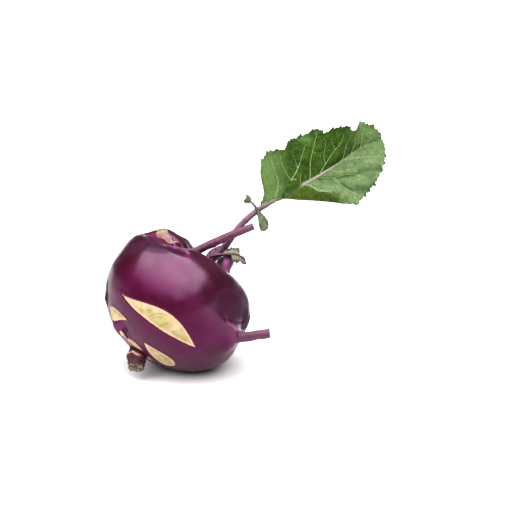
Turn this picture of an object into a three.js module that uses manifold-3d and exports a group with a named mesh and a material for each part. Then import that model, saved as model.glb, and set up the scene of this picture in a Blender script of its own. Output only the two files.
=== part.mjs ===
// A purple kohlrabi lying on its side, with one leaf left on it: a swollen stem with leaf scars, the cut
// root below it, and a sunken crown of cut stalks and young leaves. Millimetres and degrees, +Z up. The
// origin is the middle of the flat spot on which the bulb rests, and -Y is the front.
import * as THREE from 'three';
import { mergeVertices } from 'three/addons/utils/BufferGeometryUtils.js';
import Module from 'manifold-3d';

const wasm = await Module();
wasm.setup();

// ---- Driving dimensions: the bulb ----

// The plant's own frame: its origin is the middle of the bulb and +Z runs from the root to the crown. The
// bulb leans over to the right and to the back until it lies on its side, close to the root.
const LEAN_RIGHT = 35.5;
const LEAN_BACK = 27;
const BULB_MIDDLE = new THREE.Vector3(-5.8, -3.8, 33.9);

// The bulb: an ellipsoid towards the root and a squarer shoulder towards the crown, which is sunken. It is
// a little lower on its right than on its left, and very faintly lobed.
const BULB_RADIUS = 38;
const ROOT_DEPTH = 31;
const CROWN_HEIGHT = 30;
const SHOULDER_POWER = 2.8;
const HOLLOW_DEPTH = 9;
const HOLLOW_RADIUS = 13;
const SIDE_DROP = 0.05;
const LOBE_COUNT = 3;
const LOBE_TURN = 57;
const LOBE_DEPTH = 0.012;
const BULB_COLUMNS = 56;
const BULB_ROWS = 34;

// The crown's rim lies between these two heights and outside this radius. Its swellings and hollows each
// have a turn round the axis from the front, a reach round the bulb, and a height.
const RIM_FOOT = 12;
const RIM_TOP = 24;
const RIM_RADIUS = 20;
const RIM_SWELLS = [
  { turn: 0, reach: 75, height: -1.5 },
  { turn: -45, reach: 28, height: -6 },
  { turn: -82, reach: 12, height: -5 },
  { turn: -122, reach: 36, height: 5 },
];

// Low mounds on the skin, and one hollow. Each has its turn from the front, its angle up from the root, its
// half length, half width, height and slant. In order: the foot of the side stalk and the sharp ridge that
// runs up to it, the foot of an old leaf, a small spur, the hollow above the side stalk, the rib below the
// torn scar at the crown, that scar's raised flap, the shoulder beside it, the dip behind it, and the swelling
// on which the bulb rests.
const MOUNDS = [
  { turn: 67, rise: 91, long: 6, wide: 5, height: 3, slant: -40 },
  { turn: 55, rise: 94, long: 8, wide: 1.8, height: 2.2, slant: -6 },
  { turn: -44, rise: 31, long: 8, wide: 3.6, height: 2, slant: -58 },
  { turn: -66, rise: 51, long: 1.6, wide: 3.4, height: 1.3, slant: 0 },
  { turn: 88, rise: 99, long: 9, wide: 7, height: -2, slant: 0 },
  { turn: -62, rise: 160, long: 7, wide: 2, height: 1.6, slant: -40 },
  { turn: -102, rise: 137, long: 7, wide: 5, height: 1, slant: 0 },
  { turn: -86, rise: 121, long: 6, wide: 5, height: 1, slant: 0 },
  { turn: -112, rise: 156, long: 6, wide: 5, height: -1.4, slant: 0 },
  { turn: 132, rise: 37, long: 9, wide: 9, height: 0.6, slant: 0 },
];

// Leaf scars: pale flats cut into the skin. Each has the turn, rise and slant of the middle of its chord, the
// chord's length, how far its edges bulge above and below it, and how pointed its left and right ends are.
const SCAR_DEPTH = 0.35;
const SCAR_REACH = 30;
const SCAR_STEPS = 12;
const SCARS = [
  { turn: 5, rise: 52.5, slant: 0, length: 45, above: 11, below: -1.5, left: 1.3, right: 1.05 },
  { turn: 38.5, rise: 25.2, slant: -4, length: 21.4, above: 7.2, below: 3.2, left: 0.8, right: 0.5 },
  { turn: -42.5, rise: 39.9, slant: -2, length: 17.4, above: 3.9, below: 2.9, left: 0.6, right: 0.9 },
  { turn: -11, rise: 15.7, slant: 11, length: 11.2, above: 5.2, below: 0.9, left: 0.6, right: 1 },
  { turn: 160, rise: 58, slant: 3, length: 34, above: 4.4, below: 3.6, left: 1, right: 1.3 },
  { turn: -130, rise: 40, slant: -4, length: 24, above: 3, below: 3, left: 1.2, right: 0.9 },
];

// ---- Driving dimensions: the root and the cut stalks, in the plant's frame ----

// Every stalk has a route from its foot to its tip, and radii evenly spaced along it. The root is a knobbly
// stub, narrower just below the bulb.
const ROOT = {
  route: [[-3.4, 1, -25], [-2, -1, -28.5], [0, -2.4, -31.4], [2, -3.4, -34.6], [4.2, -4.2, -38.2]],
  radii: [6.4, 5.4, 4.3, 3.8, 4.3, 4.4, 4.1, 4.2, 3.4],
  sides: 16,
  rings: 12,
};

// The thick stalk cut off above the crown, and the one cut off at the bulb's side.
const CROWN_STALK = {
  route: [[-9.8, -3.4, 21], [-5.6, -5.2, 28.3], [-1.6, -6.8, 34.9], [6.2, -9, 47.1], [10.2, -9.6, 53]],
  radii: [2.6, 2.1, 2.05, 2, 1.9, 1.8],
  sides: 12,
  rings: 12,
};
const SIDE_STALK = {
  route: [[27, -10.5, -2], [34.2, -14, 1.6], [39.1, -16.5, 4], [43.8, -17.5, 8.2], [48.8, -18.5, 12.6]],
  radii: [5.5, 4.4, 2.7, 2.3, 2.3],
  sides: 12,
  rings: 12,
};

// ---- Driving dimensions: the young leaves in the crown, in the plant's frame ----

// What grows out of the bulb stays this far from it, and the blades from their stalk.
const GAP = 0.3;
const LEAF_THICKNESS = 0.8;

// A small blade is widest a little before its middle. These are its width at both ends as a share of the
// widest, where along its outline it begins, and how square the outline is. Where its far half ends before
// its tip, that half narrows over this share of the blade.
const SMALL_BLADE_END = 0.16;
const SMALL_BLADE_START = 0.08;
const SMALL_BLADE_POWER = 0.7;
const FAR_HALF_NARROWS = 0.15;
const SMALL_BLADE_WIDTHS = 6;

// Each young leaf is a stalk and a frilled blade in one piece. A blade has the route of its midrib, the
// direction across it, its width, how far its halves fold up, the number and height of its ruffles, and the
// share of it at which its far half ends.
const YOUNG_STEPS = { sides: 7, rings: 9, steps: 13 };
const YOUNG_LEAVES = [
  {
    stalk: {
      route: [
        [2.5, -3, 17], [-0.7, -3.7, 25.7], [2.5, -6.8, 30],
        [8.7, -9.8, 34.3], [12.8, -10.9, 36.3], [16.1, -11.5, 36.3],
      ],
      radii: [1.5, 1.2, 0.8, 0.7, 0.6],
    },
    blade: {
      route: [
        [6.2, -8.3, 32.7], [9.4, -10, 35], [12.8, -10.9, 36.3], [16.1, -11.5, 36.3], [18.3, -12.1, 34.7],
      ],
      across: [-0.45, 0.4, 0.8],
      width: 8.4,
      fold: -0.12,
      ruffles: 4,
      ruffle: 0.5,
      farEnds: 0.62,
    },
  },
  {
    stalk: {
      route: [[9, -3, 18], [12.5, -5.6, 25.9], [11.3, -5.6, 28.2], [10.3, -5.4, 30.6], [9.2, -4.8, 34.4]],
      radii: [2.2, 2.1, 1.9, 2.1, 2.8, 2.3],
    },
    blade: {
      route: [[9.4, -4.8, 32.6], [8.4, -3.6, 34.8], [8.6, -2.2, 36.8], [10.4, -0.8, 37.8]],
      across: [0.8, 0.5, -0.3],
      width: 6,
      fold: 0.3,
      ruffles: 4,
      ruffle: 0.5,
      farEnds: 2,
    },
  },
  {
    stalk: {
      route: [[-2, 6, 17], [-1, 5.6, 27.6], [1.2, 5.6, 35.6]],
      radii: [1.4, 1, 0.7],
    },
    blade: {
      route: [[-1, 5, 27], [0.1, 4.8, 32.4], [1.4, 4.8, 35.8], [3, 4.6, 39.2]],
      across: [1, 0.3, -0.6],
      width: 7.5,
      fold: 0.3,
      ruffles: 4,
      ruffle: 0.6,
      farEnds: 2,
    },
  },
  {
    stalk: {
      route: [[3, 3, 17], [5.8, 4, 25.5], [6, 4.4, 29.5], [5.4, 4.8, 33]],
      radii: [1.7, 1.4, 1.2, 0.9],
    },
    blade: {
      route: [[6.2, 5, 28], [6.4, 5.2, 31.5], [7.6, 6, 34], [9.4, 7, 35.4]],
      across: [1, 0.6, -0.4],
      width: 5,
      fold: 0.4,
      ruffles: 3,
      ruffle: 0.5,
      farEnds: 2,
    },
  },
];

// ---- Driving dimensions: the large leaf, in its own frame ----

// The leaf's frame has its origin where the blade begins, +X along the blade to the right, +Y up and +Z out
// of the upper face, which looks to the front. The leaf stands up, and its far end is turned to the back.
const LEAF_BASE = new THREE.Vector3(47.2, 13, 84);
const LEAF_STANDS = 75;
const LEAF_TURNED_BACK = 8;

const LEAF_STALK = {
  route: [
    [-43, -37.5, -8.4], [-36.2, -30.8, -7.3], [-30, -25, -6.9], [-20.6, -13.3, -5],
    [-12, -5.8, -2.7], [-3, -0.9, -0.6], [1.6, 0.6, 0],
  ],
  radii: [2.8, 2, 1.9, 1.7, 1.6, 1.4, 1.2],
  sides: 12,
  rings: 22,
};
const STALK_CLEAR_TO = [1.9, 0.7, 0];

// The blade's midrib, and the edges of its upper and lower halves, from the stalk to the tip.
const MIDRIB = [
  [-8.3, -3.8, -1.8], [-3, -1, -0.6], [1.5, 0.5, 0], [10.9, 6.4, 0],
  [20.3, 11.4, 0], [31.8, 18, 0], [41.3, 24, 0], [52, 28.4, 0],
];
const UPPER_EDGE = [
  [-10.8, -2.6], [-8.5, 2], [-9, 6.5], [-10.3, 11], [-10.4, 15], [-9.4, 20], [-6, 24], [-3.9, 23.2],
  [-1.4, 24.4], [0.6, 23.9], [2.6, 26.4], [4.6, 29.1], [7, 29.6], [11.3, 31.3], [15, 32.6], [18.5, 34],
  [20.3, 33], [22, 31.8], [24.5, 32.9], [28.5, 34.4], [33.7, 34.6], [38, 32.9], [39.4, 33.6], [40.9, 37.4],
  [44.2, 36], [48, 34.4], [50.5, 32.4], [52.2, 29.8], [52.8, 28.4],
];
const LOWER_EDGE = [
  [-7.8, -4.6], [-3, -1.8], [1.2, -0.4], [9.5, -1.1], [17.3, -1.9], [25.8, -3.2], [31.5, -4.6], [35, -4.7],
  [37.3, -5.2], [38.2, -3.6], [40.4, -1.5], [42.5, 0.8], [45, 3.5], [47.2, 6], [48.6, 9], [50.3, 12],
  [52, 15.5], [52.9, 19.5], [53.5, 24], [53, 27.6],
];

// The teeth stand out of the margin, and the notches between them run in to this share of a tooth. They
// differ in length by a share, from each to the next by an angle, and fade out towards the midrib with a
// power.
const UPPER_TEETH = 24;
const LOWER_TEETH = 26;
const TOOTH_LENGTH = 1.1;
const TOOTH_NOTCH = 0.6;
const TOOTH_SHARE = 0.35;
const TOOTH_ANGLE = 2.4;
const TOOTH_POWER = 4;

// The upper half leans towards the front, and the lower half twice as much: a channel along the midrib.
const UPPER_SLOPE = 0.28;
const LOWER_SLOPE = 0.55;

// Near the stalk the lower half rolls back under itself. The roll deepens, is full, and fades at these
// shares of the midrib, and the half bends through these angles where it is flat and where it is rolled.
const ROLL_DEPTH = 5;
const ROLL_BEGINS = 0.1;
const ROLL_DEEPENS = 0.2;
const ROLL_FADES = 0.28;
const ROLL_ENDS = 0.62;
const FLAT_BEND = 0.3;
const ROLL_BEND = 3.1;

// The margin waves, with the full height where a half is at least this wide. The midrib stands out of both
// faces.
const WAVE_HEIGHT = 1.3;
const WAVES = 3.5;
const WAVE_WIDTH = 10;
const RIB_THICKNESS = 1.6;
const RIB_REACH = 1.1;
const BLADE_STEPS = 72;
const BLADE_WIDTHS = 10;

// Two leaflets stand on the stalk below the blade: one stands up and curls, the other hangs.
const LEAFLET_STEPS = { sides: 6, rings: 5, steps: 8 };
const LEAFLETS = [
  {
    name: 'leaflet_upper',
    stalk: {
      route: [[-12.2, -5.8, -0.6], [-13.4, -3.8, 0.6], [-15.4, -1.6, 1.6], [-17, -0.2, 2]],
      radii: [0.9, 0.5, 0.5, 0.4],
    },
    blade: {
      route: [[-15.6, -1.4, 1.7], [-17, 0, 2], [-17.6, 0.6, 2.6], [-17.2, 1.4, 3.4]],
      across: [0.6, 1, 0],
      width: 4.6,
      fold: 0.5,
      ruffles: 1.5,
      ruffle: 0.4,
      farEnds: 2,
    },
  },
  {
    name: 'leaflet_lower',
    stalk: {
      route: [[-12, -6.4, -0.8], [-11.2, -8.4, 0], [-10, -10.8, 0.6]],
      radii: [1, 0.7, 0.4],
    },
    blade: {
      route: [[-11.5, -7.4, -0.4], [-10.2, -10, 0.6], [-9.4, -13, 0.8], [-10, -16.2, 0.2]],
      across: [1, 0.4, 0.2],
      width: 4.2,
      fold: 0.35,
      ruffles: 2.5,
      ruffle: 0.4,
      farEnds: 2,
    },
  },
];

// ---- The skin of the bulb ----

// A very small step along the skin, and a distance within which two corners are one.
const FINE_STEP = 1e-3;
const SAME_PLACE = 1e-4;
const radians = THREE.MathUtils.degToRad;

// 1 at the middle of a swelling, falling off smoothly to 0 on both sides of it.
function bell(distance, reach) {
  return Math.exp(-((distance / reach) ** 2));
}

// How many degrees one turn is from another, the short way round.
function turnBetween(a, b) {
  return THREE.MathUtils.euclideanModulo(a - b + 180, 360) - 180;
}

// The direction at a turn round the axis from the front and an angle up from the root.
function direction(turn, rise) {
  const across = Math.sin(radians(rise));
  return new THREE.Vector3(
    across * Math.sin(radians(turn)),
    -across * Math.cos(radians(turn)),
    -Math.cos(radians(rise)),
  );
}

// The smooth skin in a direction from the bulb's middle, without mounds and scars.
function smoothSkin(toward) {
  const turn = THREE.MathUtils.radToDeg(Math.atan2(toward.x, -toward.y));
  const across = Math.hypot(toward.x, toward.y);
  const up = toward.z > 0;
  const power = up ? 2 / SHOULDER_POWER : 1;
  const lobes = 1 + LOBE_DEPTH * Math.cos(radians(LOBE_COUNT * turn + LOBE_TURN)) * across ** 2;
  const out = BULB_RADIUS * across ** power * lobes;
  let z = up ? CROWN_HEIGHT * toward.z ** power : ROOT_DEPTH * toward.z;
  if (up) {
    const onRim = THREE.MathUtils.smoothstep(z, RIM_FOOT, RIM_TOP) * Math.min(1, (out / RIM_RADIUS) ** 2);
    z -= HOLLOW_DEPTH * bell(out, HOLLOW_RADIUS);
    for (const swell of RIM_SWELLS) {
      z += onRim * swell.height * bell(turnBetween(turn, swell.turn), swell.reach);
    }
  }
  const x = out * Math.sin(radians(turn));
  return new THREE.Vector3(x, -out * Math.cos(radians(turn)), z - SIDE_DROP * x * across ** 2);
}

// The outward normal of the smooth skin, from two small steps along it.
function skinNormal(toward) {
  const side = new THREE.Vector3(toward.y, -toward.x, 0);
  if (side.length() < SAME_PLACE) side.set(1, 0, 0);
  side.normalize();
  const rise = side.clone().cross(toward);
  const here = smoothSkin(toward);
  const stepSide = smoothSkin(toward.clone().addScaledVector(side, FINE_STEP).normalize()).sub(here);
  const stepRise = smoothSkin(toward.clone().addScaledVector(rise, FINE_STEP).normalize()).sub(here);
  const normal = stepSide.cross(stepRise).normalize();
  return normal.dot(toward) < 0 ? normal.negate() : normal;
}

// A frame on the skin: where it is, the way round the bulb turned by the slant, the way up, and the way
// out.
function skinFrame({ turn, rise, slant }) {
  const toward = direction(turn, rise);
  const out = skinNormal(toward);
  const along = new THREE.Vector3(-toward.y, toward.x, 0).normalize();
  const up = out.clone().cross(along).normalize();
  along.crossVectors(up, out).applyAxisAngle(out, radians(slant));
  up.crossVectors(out, along);
  return { place: smoothSkin(toward), along, up, out };
}

const moundFrames = MOUNDS.map((mound) => ({ ...mound, ...skinFrame(mound) }));

// The skin with its mounds, moved outwards by a margin.
function skin(toward, margin) {
  const point = smoothSkin(toward);
  const out = skinNormal(toward);
  let lift = margin;
  for (const frame of moundFrames) {
    const offset = point.clone().sub(frame.place);
    const distance = Math.hypot(
      offset.dot(frame.along) / frame.long,
      offset.dot(frame.up) / frame.wide,
      offset.dot(frame.out) / BULB_RADIUS,
    );
    lift += frame.height * bell(distance, 1);
  }
  return point.addScaledVector(out, lift);
}

// ---- Closed bodies ----

// A geometry as a solid for cutting and joining.
function solid(geometry) {
  const bare = geometry.clone();
  bare.deleteAttribute('normal');
  bare.deleteAttribute('uv');
  const merged = mergeVertices(bare, SAME_PLACE);
  return new wasm.Manifold(
    new wasm.Mesh({
      numProp: 3,
      vertProperties: new Float32Array(merged.attributes.position.array),
      triVerts: new Uint32Array(merged.index.array),
    }),
  );
}

// A solid back as a geometry.
function geometryOf(body) {
  const mesh = body.getMesh();
  const geometry = new THREE.BufferGeometry();
  geometry.setAttribute('position', new THREE.BufferAttribute(mesh.vertProperties, 3));
  geometry.setIndex(new THREE.BufferAttribute(mesh.triVerts, 1));
  geometry.computeVertexNormals();
  return geometry;
}

// Moves every vertex of a geometry to where a function puts it.
function reshape(geometry, place) {
  const position = geometry.attributes.position;
  const point = new THREE.Vector3();
  for (let i = 0; i < position.count; i += 1) {
    point.fromBufferAttribute(position, i);
    position.setXYZ(i, ...place(point).toArray());
  }
  return geometry;
}

// The whole bulb, moved outwards by a margin: a sphere whose every vertex is put on the skin.
function bulbGeometry(margin) {
  const sphere = new THREE.SphereGeometry(1, BULB_COLUMNS, BULB_ROWS).rotateX(Math.PI / 2);
  return reshape(sphere, (point) => skin(point.clone().normalize(), margin));
}

// A round stalk along a curve, with its radii evenly spaced from its foot to its tip.
function stalkGeometry({ route, radii, sides, rings }) {
  const curve = new THREE.CatmullRomCurve3(route.map((point) => new THREE.Vector3(...point)));
  const girth = new THREE.SplineCurve(radii.map((radius, k) => new THREE.Vector2(k, radius)));
  const away = new THREE.Vector3(0, 1, 0);
  const cylinder = new THREE.CylinderGeometry(1, 1, 1, sides, rings);
  return reshape(cylinder, (point) => {
    const along = THREE.MathUtils.clamp(point.y + 0.5, 0, 1);
    const tangent = curve.getTangentAt(along);
    const side = tangent.clone().cross(away).normalize();
    const front = side.clone().cross(tangent);
    const radius = girth.getPoint(along).y;
    return curve
      .getPointAt(along)
      .addScaledVector(side, point.x * radius)
      .addScaledVector(front, point.z * radius);
  });
}

// A thin blade: middle(s, v) is its middle surface, s along it and v across it, both from 0 to 1. The two
// faces lie half the thickness to each side, split into triangles alike, and a rim closes them.
function sheetGeometry(steps, widths, middle, thickness) {
  const rows = steps + 1;
  const columns = widths + 1;
  const points = Array.from({ length: rows * columns }, (_, k) =>
    middle(Math.floor(k / columns) / steps, (k % columns) / widths));
  const at = (i, j) =>
    points[THREE.MathUtils.clamp(i, 0, steps) * columns + THREE.MathUtils.clamp(j, 0, widths)];
  const positions = [];
  for (const face of [1, -1]) {
    for (let i = 0; i < rows; i += 1) {
      for (let j = 0; j < columns; j += 1) {
        const lengthways = at(i + 1, j).clone().sub(at(i - 1, j));
        const sideways = at(i, j + 1).clone().sub(at(i, j - 1));
        const normal = lengthways.cross(sideways).normalize();
        const half = (face * thickness(i / steps, j / widths)) / 2;
        positions.push(...at(i, j).clone().addScaledVector(normal, half).toArray());
      }
    }
  }
  const under = rows * columns;
  const index = [];
  const quad = (a, b, c, d) => index.push(a, b, c, a, c, d);
  for (let i = 0; i < steps; i += 1) {
    for (let j = 0; j < widths; j += 1) {
      const corner = i * columns + j;
      quad(corner, corner + columns, corner + columns + 1, corner + 1);
      const below = corner + under;
      index.push(below, below + columns + 1, below + columns, below, below + 1, below + columns + 1);
    }
  }
  const loop = [];
  for (let j = 0; j < widths; j += 1) loop.push(j);
  for (let i = 0; i < steps; i += 1) loop.push(i * columns + widths);
  for (let j = widths; j > 0; j -= 1) loop.push(steps * columns + j);
  for (let i = steps; i > 0; i -= 1) loop.push(i * columns);
  loop.forEach((corner, k) => {
    const next = loop[(k + 1) % loop.length];
    quad(corner, next, next + under, corner + under);
  });
  const geometry = new THREE.BufferGeometry();
  geometry.setAttribute('position', new THREE.Float32BufferAttribute(positions, 3));
  geometry.setIndex(index);
  return geometry;
}

// ---- The plant ----

const plant = new THREE.Group();
plant.position.copy(BULB_MIDDLE);
plant.rotation.set(radians(-LEAN_BACK), radians(LEAN_RIGHT), 0);
plant.updateMatrixWorld(true);

// Presses what is below the surface that the plant lies on up to it, which leaves a flat spot.
function pressFlat(geometry) {
  return reshape(geometry, (point) => {
    const world = plant.localToWorld(point.clone());
    if (world.z >= 0) return point;
    return plant.worldToLocal(world.setZ(0));
  });
}

function skinMaterial(color, roughness) {
  return new THREE.MeshStandardMaterial({ color, roughness, metalness: 0 });
}

const purpleSkin = skinMaterial(0x6a2345, 0.35);
const stalkSkin = skinMaterial(0x8d4a72, 0.5);
const leafGreen = skinMaterial(0x4f8148, 0.65);
const youngGreen = skinMaterial(0xa9a276, 0.7);
const rootBark = skinMaterial(0x5a2430, 0.8);

// ---- The bulb ----

// The prism that stands on a scar's outline, through the skin. Over its chord both edges bulge by a product
// of powers of the distances to its two ends, which is 1 at its peak.
function scarPrism({ turn, rise, slant, length, above, below, left, right }) {
  const { place, along, up, out } = skinFrame({ turn, rise, slant });
  const peak = (left - right) / (left + right);
  const edge = (from, height) => Array.from({ length: SCAR_STEPS }, (_, k) => {
    const at = from * (1 - (2 * k) / SCAR_STEPS);
    const bulge = ((1 + at) / (1 + peak)) ** left * ((1 - at) / (1 - peak)) ** right;
    return new THREE.Vector2((at * length) / 2, height * bulge);
  });
  const shape = new THREE.Shape([...edge(1, above), ...edge(-1, -below)]);
  const prism = new THREE.ExtrudeGeometry(shape, { depth: SCAR_REACH, bevelEnabled: false, steps: 1 });
  const start = place.clone().addScaledVector(out, -SCAR_REACH / 2);
  return prism.applyMatrix4(new THREE.Matrix4().makeBasis(along, up, out).setPosition(start));
}

// The bulb with its scars cut in and its flat spot pressed.
function makeBulb() {
  const scarFloor = solid(bulbGeometry(-SCAR_DEPTH));
  let body = solid(bulbGeometry(0));
  for (const scar of SCARS) {
    body = body.subtract(solid(scarPrism(scar)).subtract(scarFloor));
  }
  return new THREE.Mesh(pressFlat(geometryOf(body)), purpleSkin);
}

const bulb = makeBulb();
bulb.name = 'bulb';
plant.add(bulb);

// What grows out of the bulb is cut off where it would meet this slightly larger bulb.
const clearOfBulb = solid(bulbGeometry(GAP));

// Adds a mesh to a group, as one solid made of the pieces given, clear of the bulb.
function addGrowth(name, group, pieces, material) {
  const fromPlant = group.matrixWorld.clone().invert().multiply(plant.matrixWorld);
  const clearance = clearOfBulb.transform(fromPlant.elements);
  const body = pieces.map(solid).reduce((whole, piece) => whole.add(piece)).subtract(clearance);
  const mesh = new THREE.Mesh(geometryOf(body), material);
  mesh.name = name;
  group.add(mesh);
}

addGrowth('root_stub', plant, [stalkGeometry(ROOT)], rootBark);
addGrowth('cut_stalk_crown', plant, [stalkGeometry(CROWN_STALK)], stalkSkin);
addGrowth('cut_stalk_side', plant, [stalkGeometry(SIDE_STALK)], stalkSkin);

// ---- Small leaves ----

// A small blade along a curve, with its two halves folded up and its margin ruffled.
function smallBlade({ route, across, width, fold, ruffles, ruffle, farEnds, steps }) {
  const curve = new THREE.CatmullRomCurve3(route.map((point) => new THREE.Vector3(...point)));
  const reference = new THREE.Vector3(...across);
  return sheetGeometry(steps, SMALL_BLADE_WIDTHS, (s, v) => {
    const tangent = curve.getTangentAt(s);
    const face = tangent.clone().cross(reference).normalize();
    const side = face.clone().cross(tangent);
    const reach = 2 * v - 1;
    const bulge = Math.sin(Math.PI * THREE.MathUtils.lerp(SMALL_BLADE_START, 1, s)) ** SMALL_BLADE_POWER;
    const narrowed = reach > 0 ? THREE.MathUtils.smoothstep(s, farEnds - FAR_HALF_NARROWS, farEnds) : 0;
    const half = (width / 2) * THREE.MathUtils.lerp(SMALL_BLADE_END, 1, bulge * (1 - narrowed));
    const frill = ruffle * reach * reach * Math.sin(2 * Math.PI * ruffles * s + Math.sign(reach));
    return curve
      .getPointAt(s)
      .addScaledVector(side, half * reach)
      .addScaledVector(face, fold * half * Math.abs(reach) + frill);
  }, () => LEAF_THICKNESS);
}

YOUNG_LEAVES.forEach(({ stalk, blade }, k) => {
  const pieces = [
    stalkGeometry({ ...stalk, ...YOUNG_STEPS }),
    smallBlade({ ...blade, ...YOUNG_STEPS }),
  ];
  addGrowth(`young_leaf_${k + 1}`, plant, pieces, youngGreen);
});

// ---- The large leaf, in its own frame ----

const leaf = new THREE.Group();
leaf.position.copy(LEAF_BASE);
leaf.rotation.order = 'ZXY';
leaf.rotation.set(radians(LEAF_STANDS), 0, radians(LEAF_TURNED_BACK));
leaf.updateMatrixWorld(true);

addGrowth('leaf_stalk', leaf, [stalkGeometry(LEAF_STALK)], stalkSkin);

// A smooth curve through points of the leaf's frame.
function curveThrough(points) {
  return new THREE.CatmullRomCurve3(points.map(([x, y, z = 0]) => new THREE.Vector3(x, y, z)));
}

const midrib = curveThrough(MIDRIB);
const upperEdge = curveThrough(UPPER_EDGE);
const lowerEdge = curveThrough(LOWER_EDGE);

// How far a tooth stands out at a place along the margin: a ramp towards the tip, of uneven height.
function tooth(along, teeth) {
  const count = Math.floor(along * teeth);
  const size = 1 - TOOTH_SHARE + TOOTH_SHARE * Math.sin(TOOTH_ANGLE * count);
  return TOOTH_LENGTH * size * (along * teeth - count - TOOTH_NOTCH);
}

// The blade's middle surface: straight from the midrib to the edge across each half, and then sloped,
// rolled and waved. s runs along the upper edge; along the midrib and the lower edge it starts more slowly.
function bladeMiddle(s, v) {
  const alongRib = s * s;
  const rib = midrib.getPointAt(alongRib);
  const upper = v >= 0.5;
  const away = Math.abs(2 * v - 1);
  const edge = upper ? upperEdge.getPointAt(s) : lowerEdge.getPointAt(alongRib);
  const roll = upper ? 0 : 1 - THREE.MathUtils.smoothstep(alongRib, ROLL_FADES, ROLL_ENDS);
  const teeth = upper ? tooth(s, UPPER_TEETH) : tooth(alongRib, LOWER_TEETH) * (1 - roll);
  const ruling = edge.sub(rib).setZ(0);
  const width = ruling.length();
  ruling.setLength(width + teeth * away ** TOOTH_POWER);
  const bend = THREE.MathUtils.lerp(FLAT_BEND, ROLL_BEND, roll);
  const out = Math.sin(bend * away) / Math.sin(Math.min(bend, Math.PI / 2));
  const depth = roll * ROLL_DEPTH * THREE.MathUtils.smoothstep(alongRib, ROLL_BEGINS, ROLL_DEEPENS);
  const slope = upper ? UPPER_SLOPE * width * away : LOWER_SLOPE * width * out;
  const full = Math.min(1, width / WAVE_WIDTH) * (1 - roll);
  const wave = WAVE_HEIGHT * full * away ** 2 * Math.sin(2 * Math.PI * WAVES * s);
  const front = rib.z + slope - depth * (1 - Math.cos(bend * away)) + wave;
  return rib.addScaledVector(ruling, out).setZ(front);
}

// The blade is thicker along the midrib, and evenly thin at the tip.
function bladeThickness(s, v) {
  const rib = midrib.getPointAt(s * s);
  const distance = bladeMiddle(s, v).distanceTo(rib);
  return LEAF_THICKNESS + RIB_THICKNESS * (1 - s * s) * bell(distance, RIB_REACH);
}

// The stalk with the gap round it, reaching as far past the stalk's tip.
const clearOfStalk = solid(stalkGeometry({
  ...LEAF_STALK,
  radii: LEAF_STALK.radii.map((radius) => radius + GAP),
  route: [...LEAF_STALK.route.slice(0, -1), STALK_CLEAR_TO],
}));

// Adds a green piece of the leaf, with what would meet the stalk cut away.
function addGreen(name, pieces) {
  const body = pieces.map(solid).reduce((whole, piece) => whole.add(piece)).subtract(clearOfStalk);
  const [largest] = body.decompose().sort((a, b) => b.volume() - a.volume());
  const mesh = new THREE.Mesh(geometryOf(largest), leafGreen);
  mesh.name = name;
  leaf.add(mesh);
}

addGreen('leaf_blade', [sheetGeometry(BLADE_STEPS, BLADE_WIDTHS, bladeMiddle, bladeThickness)]);

LEAFLETS.forEach(({ name, stalk, blade }) => {
  const pieces = [
    stalkGeometry({ ...stalk, ...LEAFLET_STEPS }),
    smallBlade({ ...blade, ...LEAFLET_STEPS }),
  ];
  addGreen(name, pieces);
});

const root = new THREE.Group();
root.add(plant, leaf);

export default root;
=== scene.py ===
import bpy
import numpy as np
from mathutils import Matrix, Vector


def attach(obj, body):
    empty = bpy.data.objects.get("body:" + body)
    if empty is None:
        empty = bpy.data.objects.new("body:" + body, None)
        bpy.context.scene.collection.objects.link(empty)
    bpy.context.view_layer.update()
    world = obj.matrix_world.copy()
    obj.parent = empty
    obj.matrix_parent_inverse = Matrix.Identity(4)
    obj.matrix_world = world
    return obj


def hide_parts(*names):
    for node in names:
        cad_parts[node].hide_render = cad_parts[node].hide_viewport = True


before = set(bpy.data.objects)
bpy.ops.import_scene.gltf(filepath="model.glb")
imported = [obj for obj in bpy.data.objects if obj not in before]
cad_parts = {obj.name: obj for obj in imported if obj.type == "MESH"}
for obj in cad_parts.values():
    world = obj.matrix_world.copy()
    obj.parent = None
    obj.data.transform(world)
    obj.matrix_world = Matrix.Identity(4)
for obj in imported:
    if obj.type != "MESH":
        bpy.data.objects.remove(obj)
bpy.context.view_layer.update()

# ---- The bulb -------------------------------------------------------------------------------------------
# The kohlrabi is a swollen stem that grew as one piece: crisp white flesh under a thin tough purple skin
# with a waxy bloom. Where its lower leaves were cut off, the skin has healed as pale flat scars.
MM = 0.001

# The plant's own frame has its origin in the middle of the bulb and +Z from the root to the crown. A place on
# the skin is a turn round that axis from the front and a rise from the root's pole, both in degrees.
LEAN_RIGHT, LEAN_BACK = 35.5, 27.0
BULB_MIDDLE = np.array([-5.8, -3.8, 33.9])
BULB_RADIUS, ROOT_DEPTH, CROWN_HEIGHT, SHOULDER_POWER = 38.0, 31.0, 30.0, 2.8
HOLLOW_DEPTH, HOLLOW_RADIUS = 9.0, 13.0
SIDE_DROP = 0.05
BULB_LOBES, BULB_LOBE_TURN, BULB_LOBE_DEPTH = 3, 57.0, 0.012
RIM_FOOT, RIM_TOP, RIM_RADIUS = 12.0, 24.0, 20.0
RIM_SWELLS = [(0, 75, -1.5), (-45, 28, -6), (-82, 12, -5), (-122, 36, 5)]  # turn, reach, height


def bell(distance, reach):
    """1 at no distance, falling off smoothly on both sides to almost nothing at twice the reach."""
    return np.exp(-((distance / reach) ** 2))


def smoothstep(value, low, high):
    """0 below low, 1 above high, and a smooth rise between them."""
    share = np.clip((value - low) / (high - low), 0, 1)
    return share * share * (3 - 2 * share)


def unit(vectors):
    """The vectors at length 1."""
    return vectors / np.linalg.norm(vectors, axis=-1, keepdims=True)


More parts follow.
